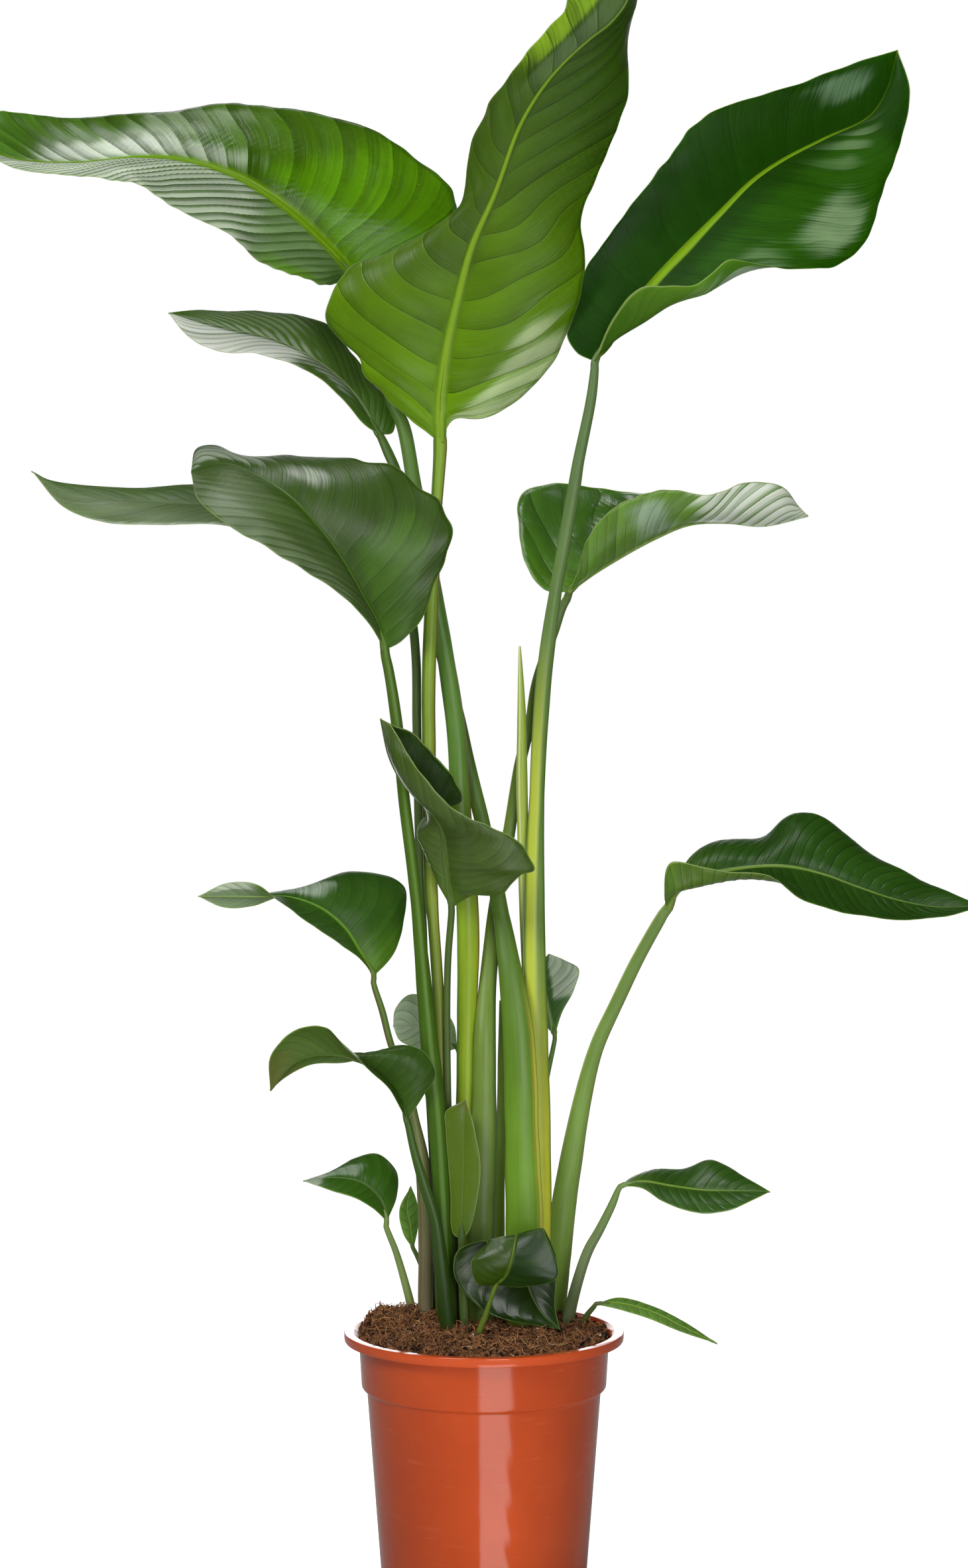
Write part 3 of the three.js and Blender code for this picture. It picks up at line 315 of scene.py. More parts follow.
        "right": [(-53, -6, 430), (-41, -9, 451), (-52, -9, 471), (-75, -6, 474), (-96, -4, 466),
            (-119, -6, 460), (-147, -12, 459), (-169, -20, 449)],
    },
    "small_left_low": {
        "cup": (0.05, 0.08),
        "widths": [8, 7, 6, 5], "ends": [(-86, 69, 312), (-159, 54, 350)],
        "line": [(-63, 74, 229), (-71, 73, 261), (-78, 71, 285), (-87, 69, 310)],
        "rib": [(-93, 66, 333), (-108, 62, 347), (-131, 58, 352)],
        "left": [(-98, 58, 325), (-113, 50, 335), (-136, 48, 343)],
        "right": [(-77, 76, 335), (-77, 80, 356), (-94, 80, 371), (-116, 74, 368), (-137, 64, 357)],
    },
    "right_long": {
        "size": "big", "depth": 0.5, "cup": (0.1, 0),
        "widths": [13, 21, 22, 20, 16, 13, 12, 11, 10, 9], "ends": [(159, 24, 590), (424, -26, 595)],
        "line": [(65, 72, 231), (67, 68, 284), (71, 63, 331), (77, 57, 370), (86, 50, 421), (98, 44, 467),
            (113, 38, 502), (133, 30, 545), (151, 25, 578), (157, 24, 588)],
        "rib": [(168, 20, 606), (190, 16, 619), (221, 12, 626), (260, 6, 628), (292, 0, 621), (319, -6, 611),
            (352, -12, 600), (385, -18, 594)],
        "left": [(167, 32, 614), (180, 38, 636), (203, 42, 651), (241, 40, 654), (272, 38, 676),
            (300, 30, 668), (333, 18, 642), (371, 2, 620)],
        "right": [(155, 6, 609), (158, -8, 630), (170, -16, 631), (203, -24, 623), (239, -32, 621),
            (266, -42, 602), (305, -46, 588), (347, -44, 582), (388, -36, 586)],
        "right_knee": [(159, 10, 602), (171, 0, 608), (199, -8, 614), (233, -14, 617), (266, -20, 612),
            (300, -24, 602), (339, -26, 591), (378, -26, 589)],
    },
    "small_right_low": {
        "depth": 0.8, "cup": (0.06, 0.06),
        "widths": [11, 10, 9, 8, 7, 5], "ends": [(118, 9, 352), (245, -10, 350)],
        "line": [(72, 26, 229), (80, 23, 263), (90, 20, 294), (100, 17, 313), (111, 13, 336),
            (116, 10, 349)],
        "rib": [(137, 6, 356), (161, 2, 353), (188, -2, 350), (216, -6, 350)],
        "left": [(128, 18, 359), (147, 24, 365), (170, 24, 364), (200, 20, 373), (223, 6, 362)],
        "right": [(136, -4, 352), (153, -14, 342), (181, -22, 334), (209, -22, 336), (232, -16, 345)],
    },
    "rim": {
        "depth": 0.8, "blade": "mid",
        "widths": [5, 5, 4], "ends": [(96, 20, 248), (201, 4, 217)],
        "line": [(84, 22, 227), (89, 21, 238), (96, 20, 247)],
        "rib": [(116, 19, 249), (146, 15, 242), (172, 10, 230)],
        "left": [(117, 24, 253), (147, 20, 246), (175, 14, 233)],
        "right": [(115, 14, 245), (143, 10, 237), (169, 6, 227)],
    },
    "front_low": {
        "size": "big", "cup": (-0.05, -0.05), "stations": True,
        "widths": [6, 5, 4, 4], "ends": [(10, -33, 274), (65, -14, 233)],
        "line": [(-4, -30, 233), (1, -31, 247), (5, -32, 260), (8, -33, 269)],
        "rib": [(19, -40, 285), (24, -45, 301), (28, -36, 317), (32, -20, 297), (38, -12, 269),
            (50, -11, 246)],
        "left": [(34, -40, 274), (62, -48, 284), (50, -38, 323), (61, -20, 299), (62, -12, 275),
            (61, -12, 251)],
        "right": [(-5, -37, 276), (-11, -42, 296), (3, -34, 311), (-22, -19, 302), (-25, -14, 278),
            (3, -13, 247)],
    },
    "back_right": {
        "blade": "grey",
        "widths": [6, 6, 5, 4], "ends": [(63, 80, 475), (58, 82, 548)],
        "line": [(37, 92, 230), (42, 90, 333), (52, 84, 417), (63, 80, 473)],
        "rib": [(59, 82, 494), (55, 84, 514), (52, 84, 534)],
        "left": [(49, 84, 491), (42, 88, 511), (43, 88, 533)],
        "right": [(69, 78, 495), (80, 76, 517), (84, 76, 535), (71, 80, 543)],
    },
    "back_left": {
        "blade": "grey",
        "widths": [6, 6, 5, 4], "ends": [(-24, 91, 463), (-81, 86, 483)],
        "line": [(-16, 96, 230), (-15, 96, 332), (-16, 94, 416), (-23, 91, 461)],
        "rib": [(-38, 90, 474), (-58, 88, 483)],
        "left": [(-41, 86, 459), (-60, 82, 464), (-75, 82, 471)],
        "right": [(-27, 94, 484), (-44, 94, 505), (-66, 92, 511), (-79, 88, 499)],
    },
    "cut_old": {
        "depth": 0.5, "blade": "stalk", "stations": True,
        "widths": [8, 8, 7], "ends": [(-19, 3, 307), (-16, 3, 427)],
        "line": [(-17, 4, 235), (-18, 4, 266), (-19, 3, 305)],
        "rib": [(-19, 3, 318), (-18, 3, 346), (-17, 3, 375), (-17, 3, 401), (-16, 3, 416)],
        "left": [(-27, 5, 312), (-29, 7, 346), (-31, 7, 374), (-33, 6, 400), (-33, 5, 417)],
        "right": [(-12, 2, 316), (-5, 0, 347), (-3, 0, 372), (-7, 1, 397), (-11, 2, 414)],
    },
    "back_shoot": {
        "stalk": "dark",
        "widths": [5, 5, 4], "ends": [(-63, 88, 284), (-65, 84, 341)],
        "line": [(-45, 82, 231), (-51, 86, 257), (-62, 88, 283)],
        "rib": [(-66, 86, 304), (-69, 84, 324)],
        "left": [(-72, 84, 299), (-75, 80, 322)],
        "right": [(-59, 90, 304), (-60, 88, 327)],
    },
    "old_middle": {
        "depth": 0.8, "stalk": "dark",
        "widths": [9, 9, 8, 8, 5],
        "line": [(14, 80, 228), (14, 78, 335), (15, 77, 394), (16, 76, 453), (16, 75, 507)],
    },
    "spear": {
        "size": "medium", "stalk": "sheath",
        "widths": [7, 8, 9, 10, 10, 10, 8, 5, 2],
        "line": [(35, 60, 230), (37, 58, 397), (38, 54, 514), (36, 48, 584), (34, 40, 657), (33, 36, 706),
            (33, 33, 755), (32, 31, 791), (31, 30, 819)],
    },
}

# Looks of the leaves, with colours as 0 to 255 display values. The greens are those of the upper and under
# face, the foot, and the rib above and below, and far is what a face turns into towards the tip. The margin
# is the pale edge, partly the leaf's own colour and partly painted light along its rim. A pleat is the height
# and spacing of the folds between side veins, a frill the height and length of the waves along an edge, a
# nick the depth of nicks in the left and right edge, and sway the height of a blade's slow waves. A sweep is
# how far along, in shares of the half's width, a side vein ends at the foot, the middle and the tip, and how
# much it bows at the foot and the tip. A lean moves the folds' crests. Fold is painted shade across each
# fold, lighter on one side and darker on the other, and crease is painted shade that darkens each fold's
# crease, lightening it where it is below nought.
# A patch is its start and end along the blade, its start and end across it from -1 at the left edge to 1 at
# the right, its strength, with a minus where only the underside has it, its colour and how far it follows the
# folds. Most patches are painted light: the pale ones are painted sheen and highlights, and the bright greens
# are painted light shining through the blade.
# Painted sheen for the patches: a white one and a greyer one, the light that the glossy leaves mirror
PAINTED_SHEEN = (222, 227, 217)
SHEEN = (186, 198, 184)
SMALL_UNDER = (94, 127, 44)
SMALL_UNDER_RIB = (136, 165, 69)
LEFT, RIGHT = -1.2, 1.2
FOOT, TIP = 0.0, 1.1
LEAF_LOOK = {
    "upper_far": None, "under_far": None, "margin": (150, 170, 100), "rib_half": 2.4, "rib_spread": 1.0,
    "tip_share": 0.0, "streak": 0.3, "fine": 0.2, "fold": 0.22, "crease": 1.0, "rough": 0.24, "shine": 0.3,
    "glow": 0.25, "pleat": (0.4, 9), "left_pleat": 0, "frill": (1.0, 34), "nick": (0.4, 0.4), "sway": 1.6,
    "left_sweep": (0.85, 0.94, 1.19, -0.09, -0.12), "right_sweep": (0.85, 0.94, 1.19, -0.09, -0.12),
    "left_lean": 0.7, "right_lean": 0.7, "patches": [],
}
LEAF_LOOKS = {
    "top_left": {
        "greens": [(62, 96, 10), (76, 98, 30), (86, 122, 8), (110, 150, 10), (114, 137, 55)],
        "upper_far": (60, 92, 16), "rib_half": 7.0, "rib_spread": 1.7, "fold": 0.5, "crease": 0.4,
        "shine": 0.2, "glow": 0.4, "pleat": (1.1, 17), "left_pleat": 11, "frill": (1.8, 42),
        "nick": (0.5, 1.0), "left_sweep": (1.1, 2.1, 1.4, -0.2, 0),
        "right_sweep": (0.99, 1.02, 0.49, -0.07, 0.15),
        # Patches paint the pale sheen on the near half and beside the rib, and light shining through the foot
        # and tip
        "patches": [
            (FOOT, TIP, LEFT, -0.06, 0.8, (92, 114, 74), 0.0), (0.3, TIP, LEFT, -0.06, 0.36, PAINTED_SHEEN, 0.9),
            (0.08, 0.34, LEFT, -0.1, 0.12, PAINTED_SHEEN, 1.2), (FOOT, 0.3, LEFT, -0.1, 0.4, (80, 120, 36), 0.3),
            (0.1, 0.28, -1.3, -0.85, 0.9, (88, 132, 28), 0.0),
            (FOOT, 0.36, 0.1, RIGHT, 0.6, (88, 140, 6), 0.0), (0.38, 0.62, 0.0, 0.24, 0.42, PAINTED_SHEEN, 0.4),
            (0.56, 0.84, 0.0, 0.34, 0.5, PAINTED_SHEEN, 0.5), (0.5, 0.7, 0.3, 0.85, 0.24, (190, 200, 180), 0.5),
            (0.85, 1.2, 0.0, RIGHT, 0.6, (74, 116, 34), 0.0),
        ],
    },
    "top_centre": {
        # Its bright foot paints light shining through the lower blade, and the dark under_far paints shade on
        # the arched top
        "greens": [(85, 120, 18), (84, 118, 5), (106, 146, 2), (125, 155, 44), (131, 167, 38)],
        "under_far": (50, 76, 6), "rib_half": 5.8, "fold": -0.42, "rough": 0.3, "shine": 0.22, "glow": 0.35,
        "pleat": (1.3, 27), "frill": (1.4, 60), "nick": (0.3, 2.4),
        "left_sweep": (0.96, 1.59, 1.49, -0.38, 0.41), "right_sweep": (1.36, 1.28, 0.5, -0.26, 0.1),
        "left_lean": 1.5, "right_lean": 1.5,
        # Patches paint the sheen on the lower lobe and beside the tip's fold, and the light through the tip;
        # one darkens the right half
        "patches": [
            (0.3, 0.9, -0.1, RIGHT, 0.6, (62, 86, 26), 0.0), (0.7, TIP, 0.0, 0.5, 0.7, (92, 112, 70), 0.0),
            (0.76, TIP, 0.5, 1.3, 0.8, (136, 172, 36), 0.0),
            (0.04, 0.34, LEFT, -0.6, 0.5, (206, 216, 176), 0.5),
        ],
    },
    "top_right": {
        # Its pale under_far paints the silvery sheen of the rolled edge's underside, and with its shine low
        # the patches paint its highlights
        "greens": [(24, 60, 1), (92, 134, 36), (20, 54, 1), (120, 160, 20), (107, 134, 53)],
        "under_far": (150, 166, 138), "rib_half": 4.0, "fine": 0.5, "fold": 0.1, "crease": 0.35,
        "rough": 0.42, "shine": 0.05, "glow": 0.4, "pleat": (0.3, 27), "frill": (1.2, 46),
        "left_sweep": (0.33, 1.02, 1.48, -0.09, 0.04), "right_sweep": (0.6, 1.7, 1.19, -0.05, -0.16),
        "patches": [
            (0.25, 0.8, 0.1, RIGHT, 0.6, (44, 92, 4), 0.0),
            (0.47, 0.64, 0.42, 0.88, 0.6, (146, 170, 130), 0.1),
            (0.36, 0.42, 0.3, 0.9, 0.35, (158, 184, 140), 0.3),
            (0.78, 0.92, -0.85, -0.35, 0.4, (130, 160, 126), 0.0),
            (0.66, 0.8, 0.1, 0.4, 0.3, (150, 176, 130), 1.4),
            (0.24, 0.5, 0.45, 0.9, -0.6, (176, 190, 172), 0.6),
        ],
    },
    "mid_left_back": {
        "greens": [(72, 98, 40), (92, 116, 54), (70, 108, 30), (110, 134, 84), SMALL_UNDER_RIB],
        "fold": -0.3, "crease": 0.4, "shine": 0.25, "pleat": (0.7, 12),
        "left_sweep": (1.6, 1.76, 2.24, 0, 0), "right_sweep": (1.6, 2.4, 2.8, 0, 0),
        # Patches paint the white sheen of the near half and the tip
        "patches": [
            (0.42, TIP, LEFT, -0.1, 1.0, PAINTED_SHEEN, 0.4), (0.2, 0.5, -0.7, 0.0, 0.35, PAINTED_SHEEN, 0.9),
            (0.4, 0.95, -0.1, 0.2, 0.3, PAINTED_SHEEN, 1.2), (0.5, 0.9, 0.2, 0.9, 0.15, PAINTED_SHEEN, 1.7),
        ],
    },
    "left_front": {
        "greens": [(56, 80, 25), (82, 102, 45), (66, 102, 19), (64, 98, 22), (118, 144, 57)],
        "rib_half": 3.2, "crease": 0.5, "rough": 0.34, "pleat": (0.5, 16), "left_pleat": 12,
        "frill": (1.3, 34), "nick": (0.1, 2.2), "left_sweep": (1.0, 1.8, 2.6, -0.3, 0.3),
        "right_sweep": (0.3, 1.17, 1.2, 0.1, -0.4),
        # Patches paint the grey sheen of the left half and the white sheen at the top and near the tip
        "patches": [
            (FOOT, TIP, LEFT, -0.1, 0.7, (80, 99, 56), 0.1),
            (0.2, TIP, LEFT, -0.6, 0.2, (146, 158, 138), 0.8), (0.56, 0.7, 0.25, 0.6, 0.4, PAINTED_SHEEN, 0.1),
            (0.75, 1.0, 0.2, 0.9, 0.3, PAINTED_SHEEN, 0.6), (FOOT, 0.4, 0.1, 0.8, 0.6, (68, 106, 22), 0.0),
        ],
    },
    "far_left": {
        "greens": [(70, 96, 40), (84, 106, 50), (79, 114, 27), (76, 102, 44), (88, 112, 52)], "streak": 0.2,
        "fine": 0.05, "fold": -0.2, "crease": -2.2, "rough": 0.36, "shine": 0.25, "pleat": (0.3, 15),
        "frill": (0.3, 60), "nick": (0.1, 0.1), "sway": 0.6, "left_sweep": (1.5, 2.0, 2.4, 0, 0),
        "right_sweep": (1.5, 2.0, 2.4, 0, 0),
        "patches": [
            (FOOT, TIP, LEFT, 0.1, 0.5, (112, 128, 92), 0.2),
            (FOOT, 0.8, LEFT, -0.9, 0.6, (184, 192, 178), 0.1),
        ],
    },
    "mid_fold": {
        "greens": [(40, 62, 18), (70, 92, 34), (83, 116, 28), (74, 101, 37), (83, 108, 42)], "rib_half": 3.0,
        "crease": 0.3, "pleat": (0.35, 8), "sway": 0.8,
    },
    "right_mid": {
        "greens": [(58, 94, 25), (96, 134, 46), (91, 136, 35), (132, 162, 57), (132, 157, 68)], "fold": 0.3,
        "crease": 0.5, "pleat": (0.6, 11), "left_sweep": (0.2, 0.8, 2.2, -0.3, 0.6),
        # Patches paint highlights on the underside, a sheen on the right half and the pale sheen of the
        # twisted tip
        "patches": [
            (0.3, 0.5, -0.9, -0.4, -0.5, (214, 226, 190), 0.4), (0.1, 0.6, -0.35, 0.0, -0.5, PAINTED_SHEEN, 1.0),
            (0.35, 0.5, 0.1, 0.9, 0.5, (170, 186, 176), 0.0), (0.58, TIP, LEFT, RIGHT, 0.8, PAINTED_SHEEN, 0.6),
        ],
    },
    "small_left_top": {
        "greens": [(54, 88, 28), SMALL_UNDER, (96, 139, 36), (100, 146, 40), SMALL_UNDER_RIB], "crease": 0.2,
        "shine": 0.2, "pleat": (0.2, 10),
        "patches": [
            (0.7, TIP, LEFT, RIGHT, 0.7, (128, 142, 118), 0.1), (0.72, 0.94, LEFT, -0.5, 0.5, PAINTED_SHEEN, 0.3),
            (0.46, 0.72, 0.1, 0.6, 0.6, SHEEN, 0.0),
        ],
    },
    "small_left_mid": {
        "greens": [(52, 78, 25), (73, 97, 33), (66, 98, 26), (64, 94, 30), (80, 106, 44)], "tip_share": 0.9,
        "crease": 0.3, "shine": 0.12,
    },
    "small_left_low": {
        "greens": [(56, 94, 24), SMALL_UNDER, (76, 116, 28), (70, 108, 30), (120, 146, 62)], "crease": 0.3,
        "patches": [
            (0.5, 0.85, 0.1, 0.6, 0.45, SHEEN, 0.0), (0.8, TIP, LEFT, RIGHT, 0.45, PAINTED_SHEEN, 0.1),
        ],
    },
    "right_long": {
        "greens": [(43, 78, 19), (84, 112, 37), (86, 124, 30), (120, 152, 58), (129, 156, 64)],
        "pleat": (0.5, 9),
    },
    "small_right_low": {
        "greens": [(54, 88, 28), (91, 116, 43), (94, 128, 36), (116, 150, 51), (134, 158, 68)],
    },
    "rim": {
        "greens": [(96, 132, 54), (129, 157, 79), (96, 139, 36), (118, 156, 51), SMALL_UNDER_RIB],
        "rib_half": 1.4, "frill": (0.4, 30), "sway": 0.4,
    },
    "front_low": {
        "greens": [(36, 60, 14), (48, 76, 14), (66, 104, 20), (84, 118, 36), (84, 108, 30)],
        "margin": (110, 136, 70), "streak": 0.12, "fine": 0.08, "fold": 0.1, "crease": 0.15,
        "pleat": (0.25, 9), "frill": (0.6, 30), "sway": 0.5,
        "patches": [
            (0.3, 0.75, 0.3, 0.9, 0.25, (196, 206, 190), 0.1),
            (-0.1, 0.42, LEFT, 0.0, -0.9, (22, 48, 14), 0.0),
            (-0.1, 0.42, 0.0, RIGHT, -0.6, (54, 76, 12), 0.0),
        ],
    },
    "back_right": {
        "greens": [(66, 96, 50), SMALL_UNDER, (90, 120, 60), (118, 146, 80), SMALL_UNDER_RIB], "crease": 0.4,
        "rough": 0.36,
        "patches": [
            (0.4, TIP, 0.2, RIGHT, 0.5, PAINTED_SHEEN, 0.05),
        ],
    },
    "back_left": {
        "greens": [(158, 172, 148), SMALL_UNDER, (158, 172, 148), (170, 184, 156), SMALL_UNDER_RIB],
        "rough": 0.36,
    },
    "cut_old": {
        "greens": [(84, 110, 26), (84, 110, 26), (80, 112, 24), (86, 112, 28), (120, 146, 60)],
        "rib_half": 1.2, "tip_share": 0.6, "streak": 0.1, "fold": 0.0, "crease": 0.0, "pleat": (0.1, 9),
        "frill": (0.4, 30), "sway": 0.5,
    },
    "back_shoot": {
        "greens": [(112, 152, 70), SMALL_UNDER, (120, 158, 60), (130, 166, 70), SMALL_UNDER_RIB],
        "rib_half": 1.4, "frill": (0.4, 30), "sway": 0.4,
    },
}

# Looks of the stalks. The greens are those at the foot, half way and at the top, and spans the shares of the
# height between which they blend. A stripe is its angle, counted from the right over the back, its half width
# and its colour, and the stripes end between two shares of the height. The brown and yellow stripes are the
# sheaths' own margins, and the green one down the front of left_front is a painted highlight.
STEM_LOOK = {
    "greens": [(104, 128, 58), (92, 120, 52), (96, 124, 56)], "spans": (0.12, 0.5, 0.95), "stripes": [],
    "stripe_end": (1.1, 1.2),
}
STEM_LOOKS = {
    "top_left": {
        "greens": [(148, 176, 42), (94, 134, 54), (86, 118, 50)], "spans": (0.36, 0.56, 0.95),
        "stripes": [(200, 3.4, (104, 150, 52)), (340, 1.6, (150, 100, 62))], "stripe_end": (0.5, 0.66),
    },
    "top_centre": {
        "greens": [(104, 94, 44), (138, 160, 56), (132, 166, 50)],
        "stripes": [(205, 3.4, (72, 104, 36)), (335, 1.2, (128, 84, 56))],
    },
    "top_right": {
        "greens": [(208, 212, 62), (110, 140, 66), (92, 120, 66)], "spans": (0.14, 0.46, 0.95),
        "stripes": [(248, 5.0, (196, 208, 70)), (5, 5.5, (68, 122, 24))], "stripe_end": (0.55, 0.75),
    },
    "mid_left_back": {
        "greens": [(108, 150, 38), (84, 116, 40), (74, 104, 40)],
        "stripes": [(340, 4.4, (210, 208, 80)), (316, 0.9, (170, 140, 66))], "stripe_end": (0.3, 0.42),
    },
    "left_front": {
        # Its stripe down the front paints the highlight along the rounded stalk
        "greens": [(58, 94, 12), (66, 98, 22), (76, 104, 34)], "stripes": [(280, 2.2, (84, 122, 28))],
    },
    "far_left": {"greens": [(79, 103, 46), (81, 103, 54), (86, 111, 56)]},
    "mid_fold": {"greens": [(79, 97, 46), (88, 105, 54), (75, 99, 40)]},
    "right_mid": {
        "greens": [(108, 133, 59), (113, 140, 56), (79, 104, 36)],
        "stripes": [(195, 1.0, (150, 150, 90)), (345, 5.0, (78, 104, 52))],
    },
    "small_left_top": {
        "greens": [(127, 119, 90), (118, 124, 75), (95, 126, 48)],
        "stripes": [(185, 1.0, (150, 132, 104)), (230, 0.8, (112, 82, 62))],
    },
    "small_left_mid": {"greens": [(40, 65, 15), (45, 71, 18), (60, 90, 30)]},
    "small_left_low": {"greens": [(144, 159, 91), (142, 164, 94), (129, 157, 86)]},
    "right_long": {
        "greens": [(126, 159, 66), (121, 153, 70), (104, 132, 64)],
        "stripes": [(200, 1.2, (168, 186, 110)), (340, 0.8, (140, 124, 84))],
    },
    "small_right_low": {"greens": [(111, 128, 82), (118, 135, 92), (111, 138, 75)]},
    "rim": {"greens": [(84, 60, 40), (96, 104, 58), (96, 118, 58)]},
    "front_low": {"greens": [(101, 95, 45), (103, 121, 40), (99, 125, 38)]},
    "old_middle": {"greens": [(150, 180, 92), (150, 180, 92), (140, 166, 84)]},
    "spear": {
        "greens": [(182, 198, 81), (182, 200, 81), (151, 175, 70)], "stripes": [(240, 1.0, (214, 224, 160))],
    },
    "cut_old": {"greens": [(81, 101, 44), (72, 94, 39), (75, 98, 43)]},
}

# Colours that aren't a shoot's own, and how leaves and stalks let light in
LEAF_TIP = (96, 92, 40)
SOIL_STAIN = (74, 50, 32)
POT_DARK, POT_LIGHT, POT_SCUFF, POT_RIM = (176, 66, 22), (188, 74, 28), (206, 122, 96), (196, 78, 34)
PEAT_DARK, PEAT_LIGHT, PEAT_SPECK, PEAT_DUST = (26, 16, 9), (160, 108, 70), (142, 112, 80), (60, 36, 20)
LITTER_DARK = (56, 34, 20)
LITTER_LIGHT = {"soil_fibres": (214, 152, 100), "soil_crumbs": (156, 104, 68)}
LITTER_PALE = {"soil_fibres": (206, 170, 120), "soil_crumbs": (210, 206, 196)}
GREEN_LIGHT = (0.6, 1.0, 0.15)
LIGHT_DEPTH = 0.002
# How softly a patch ends along a leaf and across it
SOFT_ALONG, SOFT_ACROSS = 0.06, 0.12


def linear(colour):
    """A display colour of 0 to 255 as the shader's linear colour."""
    values = [c / 255 for c in colour]
    return (*[c / 12.92 if c <= 0.04045 else ((c + 0.055) / 1.055) ** 2.4 for c in values], 1.0)


class Value:
    """A node's output that adds, subtracts and multiplies as a number does."""

    def __init__(self, shader, output):
        self.shader = shader
        self.output = output

    def __add__(self, other):
        return self.shader.math("ADD", self, other)

    def __sub__(self, other):
        return self.shader.math("SUBTRACT", self, other)

    def __rsub__(self, other):
        return self.shader.math("SUBTRACT", other, self)

    def __mul__(self, other):
        return self.shader.math("MULTIPLY", self, other)


class Nodes:
    """A tree of shader nodes, made by calls that give values."""

    def __init__(self, tree):
        self.tree = tree

    def node(self, kind, output, inputs=None, **settings):
        made = self.tree.nodes.new("ShaderNode" + kind)
        for key, value in settings.items():
            setattr(made, key, value)
        for key, value in (inputs or {}).items():
            self.put(made.inputs[key], value)
        return Value(self, made.outputs[output])

    def put(self, socket, value):
        if isinstance(value, Value):
            self.tree.links.new(value.output, socket)
        else:
            socket.default_value = value

    def parts(self, vector):
        split = self.node("SeparateXYZ", 0, {0: vector}).output.node
        return [Value(self, each) for each in split.outputs]

    def attribute(self, name):
        return self.parts(self.node("Attribute", "Vector", attribute_name=name))

    def place(self):
        return self.node("NewGeometry", "Position")

    def math(self, operation, a, b=0.0):
        return self.node("Math", 0, {0: a, 1: b}, operation=operation)

    def vector(self, x, y, z):
        return self.node("CombineXYZ", 0, {0: x, 1: y, 2: z})

    def ramp(self, value, low, high, first=0.0, last=1.0):
        return self.node("MapRange", "Result", {
            "Value": value, "From Min": low, "From Max": high, "To Min": first, "To Max": last,
        }, interpolation_type="SMOOTHSTEP")

    def span(self, value, low, high, soft):
        """One between two bounds and none outside, with soft ends."""
        return self.ramp(value, low - soft, low + soft) * self.ramp(value, high - soft, high + soft, 1.0, 0.0)

    def noise(self, vector, scale=1.0, detail=3.0, roughness=0.55):
        return self.node("TexNoise", "Fac", {
            "Vector": vector, "Scale": scale, "Detail": detail, "Roughness": roughness})

    def mix(self, factor, a, b, blend="MIX"):
        return self.node("Mix", 2, {0: factor, 6: a, 7: b}, data_type="RGBA", blend_type=blend)

    def lifted(self, colour, lift):
        """A colour made lighter or darker by a value around one."""
        return self.mix(1.0, colour, self.node("CombineColor", 0, {0: lift, 1: lift, 2: lift}), "MULTIPLY")


class Shader(Nodes):
    """The nodes of a new material."""

    def __init__(self, name):
        self.material = bpy.data.materials.new(name)
        self.material.use_nodes = True
        super().__init__(self.material.node_tree)
        self.surface = self.tree.nodes["Principled BSDF"]

    def bump(self, height, distance, strength=1.0):
        self.put(self.surface.inputs["Normal"], self.node("Bump", "Normal", {
            "Height": height, "Distance": distance, "Strength": strength}))

    def finish(self, colour, roughness, **fixed):
        self.put(self.surface.inputs["Base Color"], colour)
        self.put(self.surface.inputs["Roughness"], roughness)
        for key, value in fixed.items():
            self.surface.inputs[key.replace("_", " ")].default_value = value
        return self.material


# The grain of a leaf: how fine it is over the side veins and along them, its shift and its detail
VEIN_GRAINS = ((0.05, 0.012, 0, 3.0), (0.5, 0.006, 3, 2.0), (1.9, 0.02, 7, 2.0))


class LeafGrain:
    """The places on a leaf and the grain along its side veins that its colour is worked out from."""

    def __init__(self, s, look):
        self.along, self.ratio, self.from_edge = s.attribute("leaf_place")
        vein, across, self.face = s.attribute("leaf_grain")
        fold, self.side, _ = s.attribute("leaf_pleat")
        seed = float(look["seed"])
        # The veins draw together at the tip, so their grain fades there
        calm = s.ramp(self.along, 0.88, 0.98, 1.0, 0.0)
        self.broad, self.band, self.fine = [
            (s.noise(s.vector(vein * over, across * down, seed + shift), detail=detail) - 0.5) * calm
            for over, down, shift, detail in VEIN_GRAINS]
        self.blotch = s.noise(s.vector(vein * 0.03, across * 0.03, seed + 9), detail=4.0) - 0.5
        self.tilt = 0.5 - s.math("FRACT", fold)
        self.own = s.node("TexWhiteNoise", "Value", {"W": s.math("FLOOR", fold) + seed},
                          noise_dimensions="1D") - 0.5
        ease = s.ramp(self.ratio, 1.0, 1.9) * calm
        # Painted shade along the creases: the colour darkens beside each crease by the look's crease, and the
        # bump dips there
        beside_crease = s.math("PINGPONG", fold, 0.5) * look["pleat"][1]
        self.crease = s.ramp(beside_crease, 0.0, 0.9, 1.0, 0.0) * (ease * look["crease"])
        # Painted shade across each fold: lighter on one side and darker on the other, as if lit across it,
        # with a random lift of its own
        fold_shade = (self.tilt * look["fold"] + self.own * (look["fold"] * 0.7)) * ease
        lift = self.broad * (look["streak"] * 1.2) + self.band * look["streak"] + self.fine * look["fine"]
        self.lift = lift + self.blotch * 0.5 + 1.0 + fold_shade + self.crease * -0.35


def leaf_ground(s, g, look):
    """A leaf's green, from its foot's to its tip's, on both faces."""
    upper, under, foot, _, _ = look["greens"]
    near = s.mix(g.face, linear(under), linear(upper))
    far = s.mix(g.face, linear(look["under_far"] or under), linear(look["upper_far"] or upper))
    colour = s.lifted(s.mix(s.ramp(g.along, 0.3, 0.8), near, far), g.lift)
    return s.mix(s.ramp(g.along, 0.0, 0.28, 1.0, 0.0) * 0.75, colour, s.lifted(linear(foot), g.lift))


